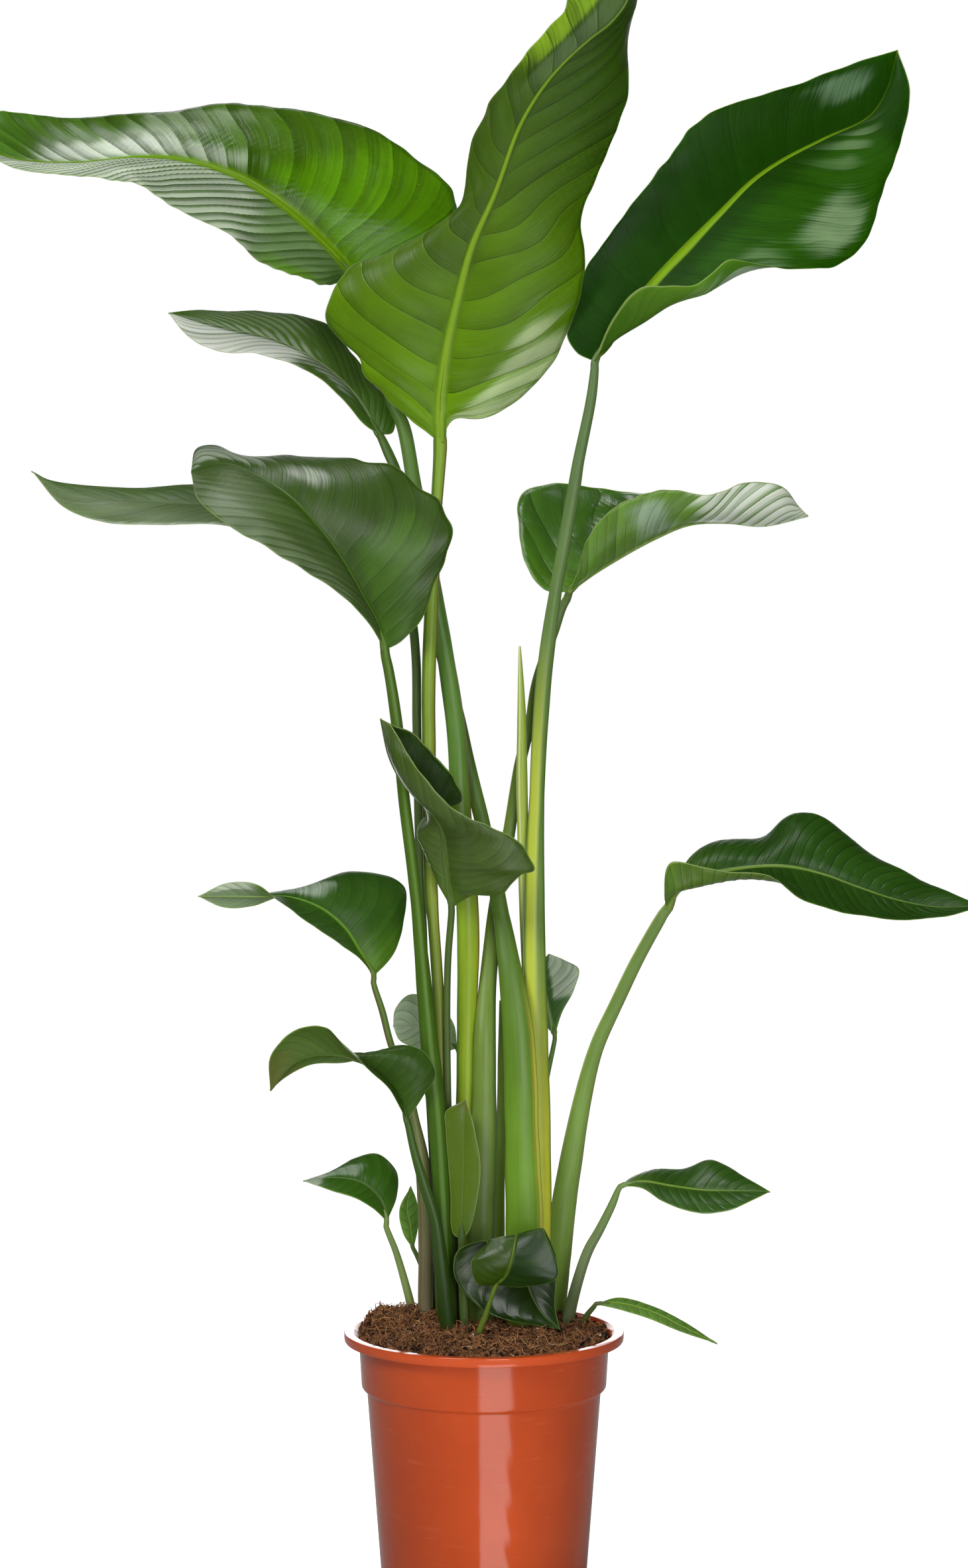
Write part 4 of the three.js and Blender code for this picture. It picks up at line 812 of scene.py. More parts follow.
def leaf_patch(s, g, colour, start, end, left, right, strength, tint, ribbed):
    """The colour with one patch of another, mostly painted sheen and light, ragged along the veins and
    striped by the folds.
    """
    inside = s.span(g.along, start, end, SOFT_ALONG) * s.span(g.side, left, right, SOFT_ACROSS)
    ragged = (g.band + g.broad) * 1.2 + g.tilt * (1.9 * ribbed)
    ragged = s.ramp(inside + ragged, 0.2, 1.1) * (1.0 - g.crease * 0.7)
    shown = strength if strength > 0 else (1.0 - g.face) * -strength
    return s.mix(ragged * inside * shown, colour, s.lifted(linear(tint), g.lift))


def leaf_lines(s, g, colour, look):
    """The colour with the rib, the pale margin, partly painted rim light, and the dry tip."""
    *_, rib, under_rib = look["greens"]
    rib = s.mix(g.face, linear(under_rib), linear(rib))
    spread = look["rib_spread"]
    on_rib = s.ramp(g.ratio, 0.6 * spread, 1.1 * spread, 1.0, 0.0) * s.ramp(g.along, 0.5, 1.0, 1.0, 0.4)
    colour = s.mix(on_rib, colour, rib)
    # The pale margin is partly the leaf's own colour and partly painted light along the rim
    colour = s.mix(s.ramp(g.from_edge, 0.35, 1.1, 1.0, 0.0) * 0.7, colour, linear(look["margin"]))
    if look["tip_share"]:
        spots = s.ramp(g.along + g.blotch * 0.5, 0.8, 0.98) * look["tip_share"]
        colour = s.mix(spots, colour, linear(LEAF_TIP))
    return colour


def leaf_material(name, look):
    s = Shader(name)
    g = LeafGrain(s, look)
    colour = leaf_ground(s, g, look)
    for patch in look["patches"]:
        colour = leaf_patch(s, g, colour, *patch)
    colour = leaf_lines(s, g, colour, look)
    rough = g.blotch * 0.25 + look["rough"] + (1.0 - g.face) * 0.08 + g.own * 0.06
    s.bump(g.fine * (1.75 * look["fine"]) + g.band * (2 * look["streak"]) + g.crease * -0.5, 0.0005, 0.7)
    return s.finish(colour, rough, Subsurface_Weight=look["glow"], Subsurface_Radius=GREEN_LIGHT,
                    Subsurface_Scale=LIGHT_DEPTH, Specular_IOR_Level=look["shine"])


def stem_material(name, look):
    s = Shader(name)
    rise, around, height = s.attribute("stem_place")
    first, second, share = s.attribute("stem_stripes")
    seed = float(look["seed"])
    fibre = s.noise(s.vector(around * 0.09, rise * 0.010, seed), detail=4.0)
    patch = s.noise(s.vector(around * 0.012, rise * 0.02, seed + 5), detail=4.0)
    near, centre, far = look["spans"]
    foot, middle, top = [linear(green) for green in look["greens"]]
    colour = s.mix(s.ramp(share, near, centre), foot, middle)
    colour = s.mix(s.ramp(share, centre, far), colour, top)
    colour = s.lifted(colour, (fibre - 0.5) * 0.5 + (patch - 0.5) * 0.5 + 1.0)
    for (_, half, tint), gap in zip(look["stripes"], (first, second)):
        shown = s.ramp(gap, half * 0.5, half * 1.4, 1.0, 0.0) * s.ramp(share, *look["stripe_end"], 0.8, 0.0)
        colour = s.mix(shown, colour, linear(tint))
    soil = s.ramp(height + patch * 18.0, 6.0, 22.0, 1.0, 0.0)
    colour = s.mix(soil * 0.75, colour, linear(SOIL_STAIN))
    s.bump(fibre, 0.0003, 0.5)
    return s.finish(colour, (patch - 0.5) * 0.2 + 0.34, Subsurface_Weight=0.1, Subsurface_Radius=GREEN_LIGHT,
                    Subsurface_Scale=LIGHT_DEPTH, Specular_IOR_Level=0.26)


def pot_material():
    s = Shader("planter")
    place = s.place()
    across, deep, height = s.parts(place)
    cloud = s.noise(place, 9.0, 4.0)
    grain = s.noise(place, 900.0, 2.0)
    scuff = s.noise(s.vector(across * 30.0, deep * 30.0, height * 260.0), 1.0, 4.0)
    colour = s.mix(s.ramp(cloud, 0.3, 0.7), linear(POT_DARK), linear(POT_LIGHT))
    colour = s.mix(s.ramp(scuff, 0.6, 0.8) * 0.2, colour, linear(POT_SCUFF))
    colour = s.mix(s.ramp(height, 0.220, 0.226), colour, linear(POT_RIM))
    s.bump(grain * 0.3 + scuff * 0.2, 0.0002, 0.4)
    return s.finish(colour, scuff * 0.05 + 0.07, Subsurface_Weight=0.05, Subsurface_Scale=LIGHT_DEPTH,
                    Specular_IOR_Level=0.4)


def peat_material():
    s = Shader("soil")
    place = s.place()
    clod = s.noise(place, 160.0, 5.0, 0.65)
    speck = s.noise(place, 900.0, 3.0, 0.6)
    colour = s.mix(s.ramp(clod, 0.43, 0.6), linear(PEAT_DARK), linear(PEAT_LIGHT))
    colour = s.mix(s.ramp(speck, 0.62, 0.75) * 0.5, colour, linear(PEAT_SPECK))
    s.bump(clod + speck * 0.5, 0.003, 0.9)
    return s.finish(colour, 0.95, Specular_IOR_Level=0.2)


def litter_material(name):
    s = Shader(name)
    shade = s.node("Attribute", "Fac", attribute_name="litter_shade")
    grain = s.noise(s.place(), 700.0, 3.0)
    colour = s.mix(shade, linear(LITTER_DARK), linear(LITTER_LIGHT[name]))
    colour = s.mix(s.ramp(shade, 0.93, 0.99), colour, linear(LITTER_PALE[name]))
    colour = s.mix(s.ramp(grain, 0.4, 0.7) * 0.4, colour, linear(PEAT_DUST))
    s.bump(grain, 0.0004, 0.6)
    return s.finish(colour, 0.85, Specular_IOR_Level=0.2)


SAMPLES_PER_SPAN = 24


def smooth_line(points, first=0, last=None):
    """A centripetal Catmull-Rom line through control points: its samples, their distance and knot number."""
    p = np.array(points, float)
    p = np.vstack([2 * p[0] - p[1], p, 2 * p[-1] - p[-2]])
    last = len(points) - 1 if last is None else last
    rows = []
    for i in range(len(points) - 1):
        x0, x1, x2, x3 = p[i:i + 4]
        d0, d1, d2 = (max(np.linalg.norm(b - a), 1e-6) ** 0.5 for a, b in ((x0, x1), (x1, x2), (x2, x3)))
        t1 = ((x1 - x0) / d0 - (x2 - x0) / (d0 + d1) + (x2 - x1) / d1) * d1
        t2 = ((x2 - x1) / d1 - (x3 - x1) / (d1 + d2) + (x3 - x2) / d2) * d1
        w = (np.arange(SAMPLES_PER_SPAN) / SAMPLES_PER_SPAN)[:, None]
        c2, c3 = -3 * x1 + 3 * x2 - 2 * t1 - t2, 2 * x1 - 2 * x2 + t1 + t2
        rows.append(x1 + w * t1 + w ** 2 * c2 + w ** 3 * c3)
    rows.append(p[-2][None])
    path = np.vstack(rows)[first * SAMPLES_PER_SPAN:last * SAMPLES_PER_SPAN + 1]
    steps = np.linalg.norm(np.diff(path, axis=0), axis=1)
    return path, np.concatenate([[0], np.cumsum(steps)]), first + np.arange(len(path)) / SAMPLES_PER_SPAN


def columns_at(at, measure, path):
    return np.stack([np.interp(at, measure, path[:, k]) for k in range(3)], 1)


def points_at(line, shares, by_knots=False):
    """Points at shares of a line, counted by distance or by knots."""
    path, distance, knots = line
    measure = knots if by_knots else distance
    return columns_at(measure[0] + np.asarray(shares) * (measure[-1] - measure[0]), measure, path)


def full_turn(sides):
    return np.arange(sides) * math.tau / sides


def unit(v):
    return v / np.maximum(np.linalg.norm(v, axis=-1, keepdims=True), 1e-9)


def smoothstep(x, low, high):
    s = np.clip((x - low) / (high - low), 0, 1)
    return s * s * (3 - 2 * s)


def waves(rng, x, y, length, count=7):
    """A smooth, irregular ripple of about unit height over two coordinates."""
    total = np.zeros(np.broadcast(x, y).shape)
    for _ in range(count):
        angle, phase, scale = rng.uniform(0, math.tau), rng.uniform(0, math.tau), rng.uniform(0.6, 1.6)
        way = x * math.cos(angle) + y * math.sin(angle)
        total = total + np.sin(way * math.tau / (length * scale) + phase)
    return total / math.sqrt(count / 2) / 1.4


def flat_columns(shape, *arrays):
    """Arrays spread over a grid's points, as one row of values a point."""
    return np.stack([np.broadcast_to(a, shape).ravel() for a in arrays], -1)


def grid_faces(rows, columns, around=False, start=0):
    a = start + (np.arange(rows - 1)[:, None] * columns + np.arange(columns if around else columns - 1))
    b = a + 1 if not around else np.where(np.arange(columns) == columns - 1, a + 1 - columns, a + 1)
    return np.stack([a, b, b + columns, a + columns], -1).reshape(-1, 4)


def tube_faces(rows, sides, start=0):
    """The wall between rings of points, and a face over each end."""
    first = [start + k for k in range(sides)]
    last = [start + (rows - 1) * sides + k for k in range(sides)]
    return [*grid_faces(rows, sides, around=True, start=start).tolist(), first[::-1], last]


def mesh_piece(name, points, faces, attributes, material, node, slot_name):
    mesh = bpy.data.meshes.new(name)
    places = np.asarray(points).reshape(-1, 3) * MM
    mesh.from_pydata(places.tolist(), [], [tuple(map(int, face)) for face in faces])
    for key, values in attributes.items():
        values = np.asarray(values, float)
        kind, field = ("FLOAT", "value") if values.ndim == 1 else ("FLOAT_VECTOR", "vector")
        mesh.attributes.new(key, kind, "POINT").data.foreach_set(field, values.ravel())
    mesh.polygons.foreach_set("use_smooth", [True] * len(mesh.polygons))
    mesh.materials.append(material)
    mesh.validate()
    piece = added(name, mesh)
    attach(piece, "root")
    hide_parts(node)


def blade_line(shoot, part):
    """A line of a blade from its foot to its tip: the rib, an edge or a knee."""
    foot, tip = shoot["ends"]
    return [foot, *shoot[part], tip]


def axis_points(shoot):
    """The whole shoot's middle, from the stalk's root to the blade's tip."""
    x, y, z = shoot["line"][0]
    root = (x * ROOT_LEAN, y * ROOT_LEAN, z - STALK_ROOT)
    return [root, *shoot["line"], *(blade_line(shoot, "rib") if "rib" in shoot else [])]


def join_halves(left, right):
    return np.concatenate([left[:, :0:-1], right], axis=1)


class Blade:
    """A blade as a bare sheet, with rows along its rib and columns from its left edge to its right edge."""

    def __init__(self, shoot, look):
        self.shoot, self.look = shoot, look
        self.rows, self.half_columns = BLADE_GRID[shoot["size"]]
        self.u = np.linspace(0, 1, self.rows)
        axis = axis_points(shoot)
        self.rib_line = smooth_line(axis, len(shoot["line"]) + 1, len(axis) - 1)
        self.rib = self.on(self.rib_line, self.u)
        self.along = unit(np.gradient(self.rib, axis=0))
        self.rib_half = self.rib_widths()
        left, left_t, left_reach = self.bare_half("left", -1, shoot["cup"][0])
        right, right_t, right_reach = self.bare_half("right", 1, shoot["cup"][1])
        self.sheet = join_halves(left, right)
        self.t = join_halves(left_t, right_t)
        self.sign = np.where(np.arange(self.t.shape[1]) < left_t.shape[1] - 1, -1, 1)[None, :]
        self.reach = self.by_side(left_reach[:, None], right_reach[:, None])
        self.mean_reach = self.by_side(left_reach.mean(), right_reach.mean())
        self.step = self.u[:, None] * self.rib_line[1][-1]
        self.from_rib = self.t * self.reach
        self.from_edge = (1 - self.t) * self.reach
        self.wide = np.minimum(self.reach / FULL_REACH, 1)
        self.vein = self.vein_places()

    def on(self, line, shares):
        return points_at(line, shares, self.shoot["stations"])

    def by_side(self, left, right):
        return np.where(self.sign < 0, left, right)

    def apart(self, distance):
        """A second coordinate for ripples along the blade, other ones on either half."""
        return distance * self.sign + 0 * self.t

    def rib_widths(self):
        """Half the rib's width along the blade, at first a little inside the stalk that runs into it."""
        start_half = self.look["rib_half"]
        inside_half = max(RIB_START_SHARE * self.shoot["widths"][-1] / 2 - RIB_MARGIN, RIB_END_HALF)
        half = RIB_END_HALF + (start_half - RIB_END_HALF) * (1 - self.u) ** RIB_TAPER
        return half + (inside_half - start_half) * (1 - smoothstep(self.u, 0, RIB_JOIN))

    def bare_half(self, side, sign, cup):
        """One half from rib to edge: its points, their share of the way and the half's width."""
        u, rib = self.u, self.rib
        rail = smooth_line(blade_line(self.shoot, side))
        out = self.on(rail, u) - rib
        reach = np.linalg.norm(out, axis=1)
        # Where the edge comes too near to the rib, its direction is the one from further inside
        near = np.clip(u, BLADE_ENDS, 1 - BLADE_ENDS)
        inner = self.on(rail, near) - self.on(self.rib_line, near)
        inner -= self.along * np.sum(inner * self.along, axis=1, keepdims=True)
        least = np.minimum(self.rib_half + RIB_MARGIN, TIP_HALF + (1 - u) * self.rows * TIP_OPENING)
        out = np.where((reach < least)[:, None], unit(inner) * least[:, None], out)
        reach = np.maximum(reach, least)
        edge = rib + out
        up = unit(np.cross(out * sign, self.along))
        knee = (rib + edge) / 2 + up * (cup * reach)[:, None]
        if side + "_knee" in self.shoot:
            knee_rail = self.on(smooth_line(blade_line(self.shoot, side + "_knee")), u)
            ends = smoothstep(u, 0, BLADE_ENDS) * (1 - smoothstep(u, 1 - BLADE_ENDS, 1))
            knee = knee + (knee_rail - knee) * ends[:, None]
        t = self.column_shares(reach)
        q = t[..., None]
        section = ((1 - q) * (1 - 2 * q) * rib[:, None] + 4 * q * (1 - q) * knee[:, None]
                   + q * (2 * q - 1) * edge[:, None])
        return section, t, reach

    def column_shares(self, reach):
        """Where the columns of a half stand between rib and edge, the first ones over the rib."""
        ribs = np.array(RIB_COLUMNS)[None, :] * self.rib_half[:, None] / reach[:, None]
        ribs = np.minimum(ribs, np.arange(len(RIB_COLUMNS))[None, :] * RIB_COLUMN_SHARE)
        rest = np.linspace(0, 1, self.half_columns - len(RIB_COLUMNS) + 1)[1:][None, :]
        return np.hstack([ribs, ribs[:, -1:] + (1 - ribs[:, -1:]) * rest])

    def vein_places(self):
        """How far along the blade the side vein through each point leaves the rib, in millimetres."""
        def swept(part, stations):
            return self.by_side(*(np.interp(self.u, stations, self.look[side][part])[:, None]
                                  for side in ("left_sweep", "right_sweep")))

        t = self.t
        sweep = swept(slice(0, 3), (0, 0.5, 1)) * t + swept(slice(3, 5), (0, 1)) * 4 * t * (1 - t)
        # Towards the tip the veins lean by the blade's own width, so that they don't crowd there
        narrow = np.minimum(self.mean_reach, self.reach / VEIN_LEAN_MOST)
        lean = np.where(self.u[:, None] > 0.5, narrow, self.mean_reach)
        turn = VEIN_TURN * (1 - np.exp(-t / VEIN_TURN))
        return self.step - lean * (sweep + turn) + self.sign * VEIN_SHIFT

    def relief(self, rng):
        """The folds' numbers, and the sheet with its folds, waves, frills and nicks."""
        look, t, sign = self.look, self.t, self.sign
        half = self.rib_half[:, None]
        step = self.step + 0 * t
        pleat_high, pleat_long = look["pleat"]
        body = smoothstep(self.from_rib, half * 0.9, half + PLEAT_START) * (
            PLEAT_END_SHARE + (1 - PLEAT_END_SHARE) * smoothstep(self.from_edge, 0, PLEAT_END))
        fold = self.vein / self.by_side(look["left_pleat"] or pleat_long, pleat_long)
        fold = fold + WANDER * waves(rng, step, self.apart(WANDER_APART), WANDER_LONG) + 0.5 * sign
        share = fold - np.floor(fold)
        dome = np.sin(math.pi * share ** self.by_side(look["left_lean"], look["right_lean"])) - FOLD_LEVEL
        swell = SWELL_HIGH * waves(rng, self.vein, self.from_rib * sign * SWELL_STRETCH,
                                   SWELL_LONG * pleat_long)
        frill_high, frill_long = look["frill"]
        frill = waves(rng, step, self.apart(FRILL_APART), frill_long)
        uneven = FOLD_HIGH + FOLD_UNEVEN * waves(rng, self.vein, self.from_rib, FOLD_UNEVEN_LONG)
        rise = pleat_high * body * (dome * uneven + swell)
        sway = waves(rng, self.step, self.from_rib * sign * WAVE_STRETCH, WAVE_LONG)
        rise = rise + look["sway"] * self.wide * t ** WAVE_POWER * sway
        at_edge = smoothstep(t, FRILL_FROM, 1.0) ** FRILL_POWER
        off_ends = np.sin(np.pi * self.u[:, None]) ** FRILL_ENDS_POWER
        rise = rise + frill_high * self.wide * at_edge * frill * off_ends
        sheet = self.sheet + sheet_normal(self.sheet) * rise[..., None]
        nick = waves(rng, step, self.apart(NICK_APART), NICK_LONG) * self.by_side(*look["nick"])
        nick = nick * smoothstep(t, NICK_FROM, 1.0) * self.wide
        outward = unit(np.gradient(sheet, axis=1)) * sign[..., None]
        return fold, sheet + outward * nick[..., None]

    def faces(self):
        """Both faces and the wall between them. The under face's points follow the upper face's."""
        rows, columns = self.t.shape
        count = rows * columns
        top = grid_faces(rows, columns)
        border = np.concatenate([
            np.arange(columns - 1), np.arange(rows - 1) * columns + columns - 1,
            (rows - 1) * columns + np.arange(columns - 1, 0, -1), np.arange(rows - 1, 0, -1) * columns])
        ahead = np.roll(border, -1)
        rim = np.stack([ahead, border, border + count, ahead + count], -1)
        return np.vstack([top, top[:, ::-1] + count, rim])


def sheet_normal(surface):
    return unit(np.cross(np.gradient(surface, axis=1), np.gradient(surface, axis=0)))


def blade_piece(name, shoot, look):
    blade = Blade(shoot, look)
    fold, sheet = blade.relief(np.random.default_rng(look["seed"]))
    half = blade.rib_half[:, None]
    up = sheet_normal(sheet)
    thick = (EDGE_THICK + (BLADE_THICK - EDGE_THICK) * smoothstep(blade.from_edge, 0, EDGE_THIN)) / 2
    # The rib stands out below and is a shallow channel with raised sides above
    ratio = np.clip(blade.from_rib / half, 0, 2)
    depth = RIB_DEEP * half + RIB_END_DEPTH
    ridge = depth * np.sqrt(np.clip(1 - ratio ** 2, 0, 1))
    channel = (RIB_CHANNEL_DEEP * depth * np.exp(-(ratio / RIB_CHANNEL_WIDE) ** 2)
               - RIB_SIDE_HIGH * depth * np.exp(-((ratio - 1) / RIB_SIDE_WIDE) ** 2))
    upper = sheet + up * (thick - channel)[..., None]
    under = sheet - up * (thick + ridge)[..., None]
    shape, sign = blade.t.shape, blade.sign
    place = flat_columns(shape, blade.u[:, None], ratio, blade.from_edge)
    grain = [flat_columns(shape, blade.vein, blade.from_rib * sign, face) for face in (1.0, 0.0)]
    pleat = flat_columns(shape, fold, blade.t * sign, 0.0)
    mesh_piece("leaf_" + name, np.stack([upper, under]), blade.faces(),
               {"leaf_place": np.vstack([place, place]), "leaf_grain": np.vstack(grain),
                "leaf_pleat": np.vstack([pleat, pleat])},
               leaf_material("leaf_" + name, look), "blade_" + name, "blade_" + shoot["blade"])


def stalk_radius(angle):
    """A stalk's radius around it, as a share of its half width, with its channel and the channel's lips."""
    turn = np.abs((angle - CHANNEL_AT + math.pi) % math.tau - math.pi)
    cut = 1 - CHANNEL_DEEP * np.exp(-(turn / CHANNEL_WIDE) ** 2)
    return (cut + LIP_HIGH * np.exp(-((turn - LIP_AT) / LIP_WIDE) ** 2))[None, :]


def stalk_piece(name, shoot, look):
    path, distance, knots = smooth_line(axis_points(shoot))
    has_blade = "rib" in shoot
    reach = np.interp(len(shoot["line"]) + (1 if has_blade else 0), knots, distance)
    overrun = min(OVERRUN, OVERRUN_SHARE * (distance[-1] - reach)) if has_blade else 0
    at = np.linspace(0, reach + overrun, max(12, int((reach + overrun) / STALK_STEP)) + 1)
    middle = columns_at(at, distance, path)
    along = unit(np.gradient(middle, axis=0))
    widths = np.array(shoot["widths"], float)
    half = np.interp(np.interp(at, distance, knots) - 1, np.arange(len(widths)), widths) / 2
    past = np.clip((at - reach) / max(overrun, 1e-6), 0, 1)
    half = half * (1 - OVERRUN_TAPER * past ** 2)
    deep = np.maximum(half * shoot["depth"], np.minimum(STALK_LEAST_DEPTH, half))
    across = unit(np.cross(np.array([0, 1, 0.0])[None], along))
    back = np.cross(along, across)
    angle = full_turn(STALK_SIDES)
    radius = stalk_radius(angle)
    a, b = np.cos(angle)[None, :], np.sin(angle)[None, :]
    rng = np.random.default_rng(look["seed"] + 500)
    lumps = 1 + STALK_LUMPS * waves(rng, at[:, None] + 0 * a, LUMP_AROUND * a, LUMP_LONG)
    points = (middle[:, None] + across[:, None] * (half[:, None] * a * radius * lumps)[..., None]
              + back[:, None] * (deep[:, None] * b * radius * lumps)[..., None])
    around = np.degrees(angle)[None, :] + 0 * at[:, None]
    stripes_at = ([stripe[0] for stripe in look["stripes"]] + [0, 0])[:2]
    gaps = [np.abs((around - to + 180) % 360 - 180) * math.pi / 180 * half[:, None] for to in stripes_at]
    shape = points.shape[:2]
    height = points[..., 2] - PEAT_EDGE_HEIGHT
    mesh_piece("stem_" + name, points, tube_faces(*shape),
               {"stem_place": flat_columns(shape, at[:, None] - STALK_ROOT, around, height),
                "stem_stripes": flat_columns(shape, *gaps, (at / reach)[:, None])},
               stem_material("stem_" + name, look), "stalk_" + name, "stalk_" + shoot["stalk"])


def rings(radius, height, sides):
    """Level rings of points, one for each radius and height."""
    angle = full_turn(sides)
    radius, height = np.asarray(radius, float)[:, None], np.asarray(height, float)[:, None]
    return np.stack([radius * np.cos(angle), radius * np.sin(angle), height + 0 * angle], -1)


def rounded(profile, bends):
    """A profile whose listed corners are rounded by arcs of the given size."""
    made = []
    for i, corner in enumerate(profile):
        size = bends.get(i, 0)
        here = np.array(corner, float)
        if not size:
            made.append(here)
            continue
        before, after = np.array(profile[i - 1], float), np.array(profile[i + 1], float)
        a = here + unit(before - here) * min(size, np.linalg.norm(before - here) * 0.45)
        b = here + unit(after - here) * min(size, np.linalg.norm(after - here) * 0.45)
        for w in np.linspace(0, 1, 6):
            made.append((1 - w) ** 2 * a + 2 * w * (1 - w) * here + w ** 2 * b)
    return np.array(made)


def pot_piece():
    """A smooth turned body with a rounded rim, a band over a step and a tapered wall."""
    rim_foot = POT_HEIGHT - RIM_TALL
    profile = [
        (0, 0), (BASE_RADIUS, 0), (LEDGE_RADIUS, LEDGE_HEIGHT - 1), (BAND_FOOT_RADIUS, LEDGE_HEIGHT + 1.5),
        (BAND_RADIUS, rim_foot), (RIM_RADIUS - 0.5, rim_foot), (RIM_RADIUS, rim_foot + 2),
        (RIM_RADIUS, POT_HEIGHT), (RIM_INNER_RADIUS, POT_HEIGHT), (BAND_RADIUS - WALL, rim_foot),
        (BAND_FOOT_RADIUS - WALL, LEDGE_HEIGHT + 1), (LEDGE_RADIUS - WALL, LEDGE_HEIGHT - 1),
        (BASE_RADIUS - WALL, FLOOR), (0, FLOOR),
    ]
    turned = rounded(profile, {1: 3, 2: 1.5, 3: 2, 4: 2.5, 5: 1, 6: 1, 7: 1.2, 8: 1.2, 9: 3, 12: 2})[1:-1]
    points = rings(turned[:, 0], turned[:, 1], POT_SIDES)
    mesh_piece("planter", points, tube_faces(len(points), POT_SIDES), {}, pot_material(), "pot", "pot")


def peat_height(x, y):
    radius = np.hypot(x, y) / RIM_INNER_RADIUS
    mound = np.hypot(x - PEAT_MOUND_PLACE[0], y - PEAT_MOUND_PLACE[1]) / PEAT_MOUND_RADIUS
    rng = np.random.default_rng(PEAT_SEED)
    lumps = sum(waves(rng, x, y, length, count) * height for length, count, height in PEAT_LUMPS)
    length, count, height = PEAT_CRUMBS
    crumbs = np.abs(waves(rng, x, y, length, count)) * height
    return PEAT_EDGE_HEIGHT + PEAT_DOME * (1 - radius ** 2) + HEAP * np.exp(-mound ** 2) + lumps + crumbs


def peat_piece():
    """The lumpy top and the wall down to the pot's floor, a little clear of the pot."""
    edge = BAND_RADIUS - WALL - PEAT_GAP
    angle = full_turn(PEAT_SIDES)
    out = (edge + PEAT_TOP_WIDER) * np.linspace(PEAT_MIDDLE, 1, PEAT_RINGS)[:, None]
    x, y = out * np.cos(angle), out * np.sin(angle)
    radii = [edge, BAND_FOOT_RADIUS - WALL - PEAT_GAP, LEDGE_RADIUS - WALL - PEAT_GAP,
             BASE_RADIUS - WALL - 0.5]
    heights = [POT_HEIGHT - RIM_TALL, LEDGE_HEIGHT + 2, LEDGE_HEIGHT - 1, FLOOR + 0.4]
    wall = rings(radii, heights, PEAT_SIDES)
    points = np.concatenate([np.stack([x, y, peat_height(x, y)], -1), wall], 0)
    faces = [face[::-1] for face in tube_faces(len(points), PEAT_SIDES)]
    mesh_piece("soil", points, faces, {}, peat_material(), "peat", "peat")


def litter_place(rng, reach):
    """A point on the peat within a reach of the pot's axis, more often near the heap."""
    if rng.random() < HEAP_SHARE:
        x, y = np.array(PEAT_MOUND_PLACE) + rng.normal(0, HEAP_SPREAD, 2)
    else:
        angle, out = rng.uniform(0, math.tau), reach * math.sqrt(rng.random())
        x, y = out * math.cos(angle), out * math.sin(angle)
    far = math.hypot(x, y)
    if far > reach:
        x, y = x * reach / far, y * reach / far
    return x, y


def fibre_points(rng):
    """A bent thread: rings of four points from end to end."""
    x, y = litter_place(rng, FIBRE_REACH)
    length, half = rng.uniform(*FIBRE_LONG), rng.uniform(*FIBRE_HALF)
    heading, bend = rng.uniform(0, math.tau), rng.normal(0, FIBRE_BEND)
    share = np.linspace(0, 1, FIBRE_RINGS)
    turn = heading + bend * share
    px = x + np.cumsum(np.cos(turn)) * length / FIBRE_RINGS
    py = y + np.cumsum(np.sin(turn)) * length / FIBRE_RINGS
    far = np.maximum(np.hypot(px, py) / LITTER_REACH, 1)
    px, py = px / far, py / far
    arch = rng.uniform(*FIBRE_ARCH) * np.sin(math.pi * share)
    arch = arch + (rng.random() < STANDING_SHARE) * STANDING_HIGH * share ** 2
    centre = np.stack([px, py, peat_height(px, py) + FIBRE_CLEAR + arch], -1)
    along = unit(np.gradient(centre, axis=0) + 1e-6)
    across = unit(np.cross(along, [0, 0, 1.0]))
    up = np.cross(across, along)
    taper = half * (0.45 + 0.55 * np.sin(math.pi * share))[:, None]
    return np.stack([centre + across * taper, centre + up * taper, centre - across * taper,
                     centre - up * taper], 1)


def crumb_points(rng):
    """A small lump: rings of points between its poles."""
    x, y = litter_place(rng, CRUMB_REACH)
    on_heap = math.hypot(x - PEAT_MOUND_PLACE[0], y - PEAT_MOUND_PLACE[1]) < HEAP_REACH
    size = rng.uniform(*CRUMB_SIZE) * (CRUMB_ON_HEAP if on_heap else 1)
    rise = np.linspace(-CRUMB_POLE, CRUMB_POLE, CRUMB_RINGS)
    angle = full_turn(CRUMB_SIDES) + rng.uniform(0, 1)
    radius = np.sqrt(1 - rise ** 2)[:, None] * rng.uniform(*CRUMB_UNEVEN, (CRUMB_RINGS, CRUMB_SIDES))
    z = float(peat_height(np.array([x]), np.array([y]))[0]) + size * rng.uniform(*CRUMB_RISE)
    return np.stack([x + size * radius * np.cos(angle), y + size * radius * np.sin(angle),
                     z + CRUMB_FLAT * size * rise[:, None] + 0 * angle], -1)


def litter_piece(name, count, draw):
    rng = np.random.default_rng(LITTER_SEED)
    points, faces, shade = [], [], []
    for _ in range(count):
        shape = draw(rng)
        faces += tube_faces(*shape.shape[:2], start=len(shade))
        points.append(shape.reshape(-1, 3))
        shade += [rng.random()] * len(points[-1])
    mesh_piece(name, np.vstack(points), faces, {"litter_shade": shade}, litter_material(name), "peat", "peat")


# Every blade and stalk has a seed of its own
for number, (shoot_name, points) in enumerate(SHOOTS.items()):
    shoot = {**SHOOT, **points}
    if "rib" in shoot:
        blade_piece(shoot_name, shoot, {**LEAF_LOOK, **LEAF_LOOKS[shoot_name], "seed": 11 + 7 * number})
    stalk_piece(shoot_name, shoot, {**STEM_LOOK, **STEM_LOOKS.get(shoot_name, {}), "seed": 17 + 7 * number})
pot_piece()
peat_piece()
litter_piece("soil_fibres", FIBRE_COUNT, fibre_points)
litter_piece("soil_crumbs", CRUMB_COUNT, crumb_points)


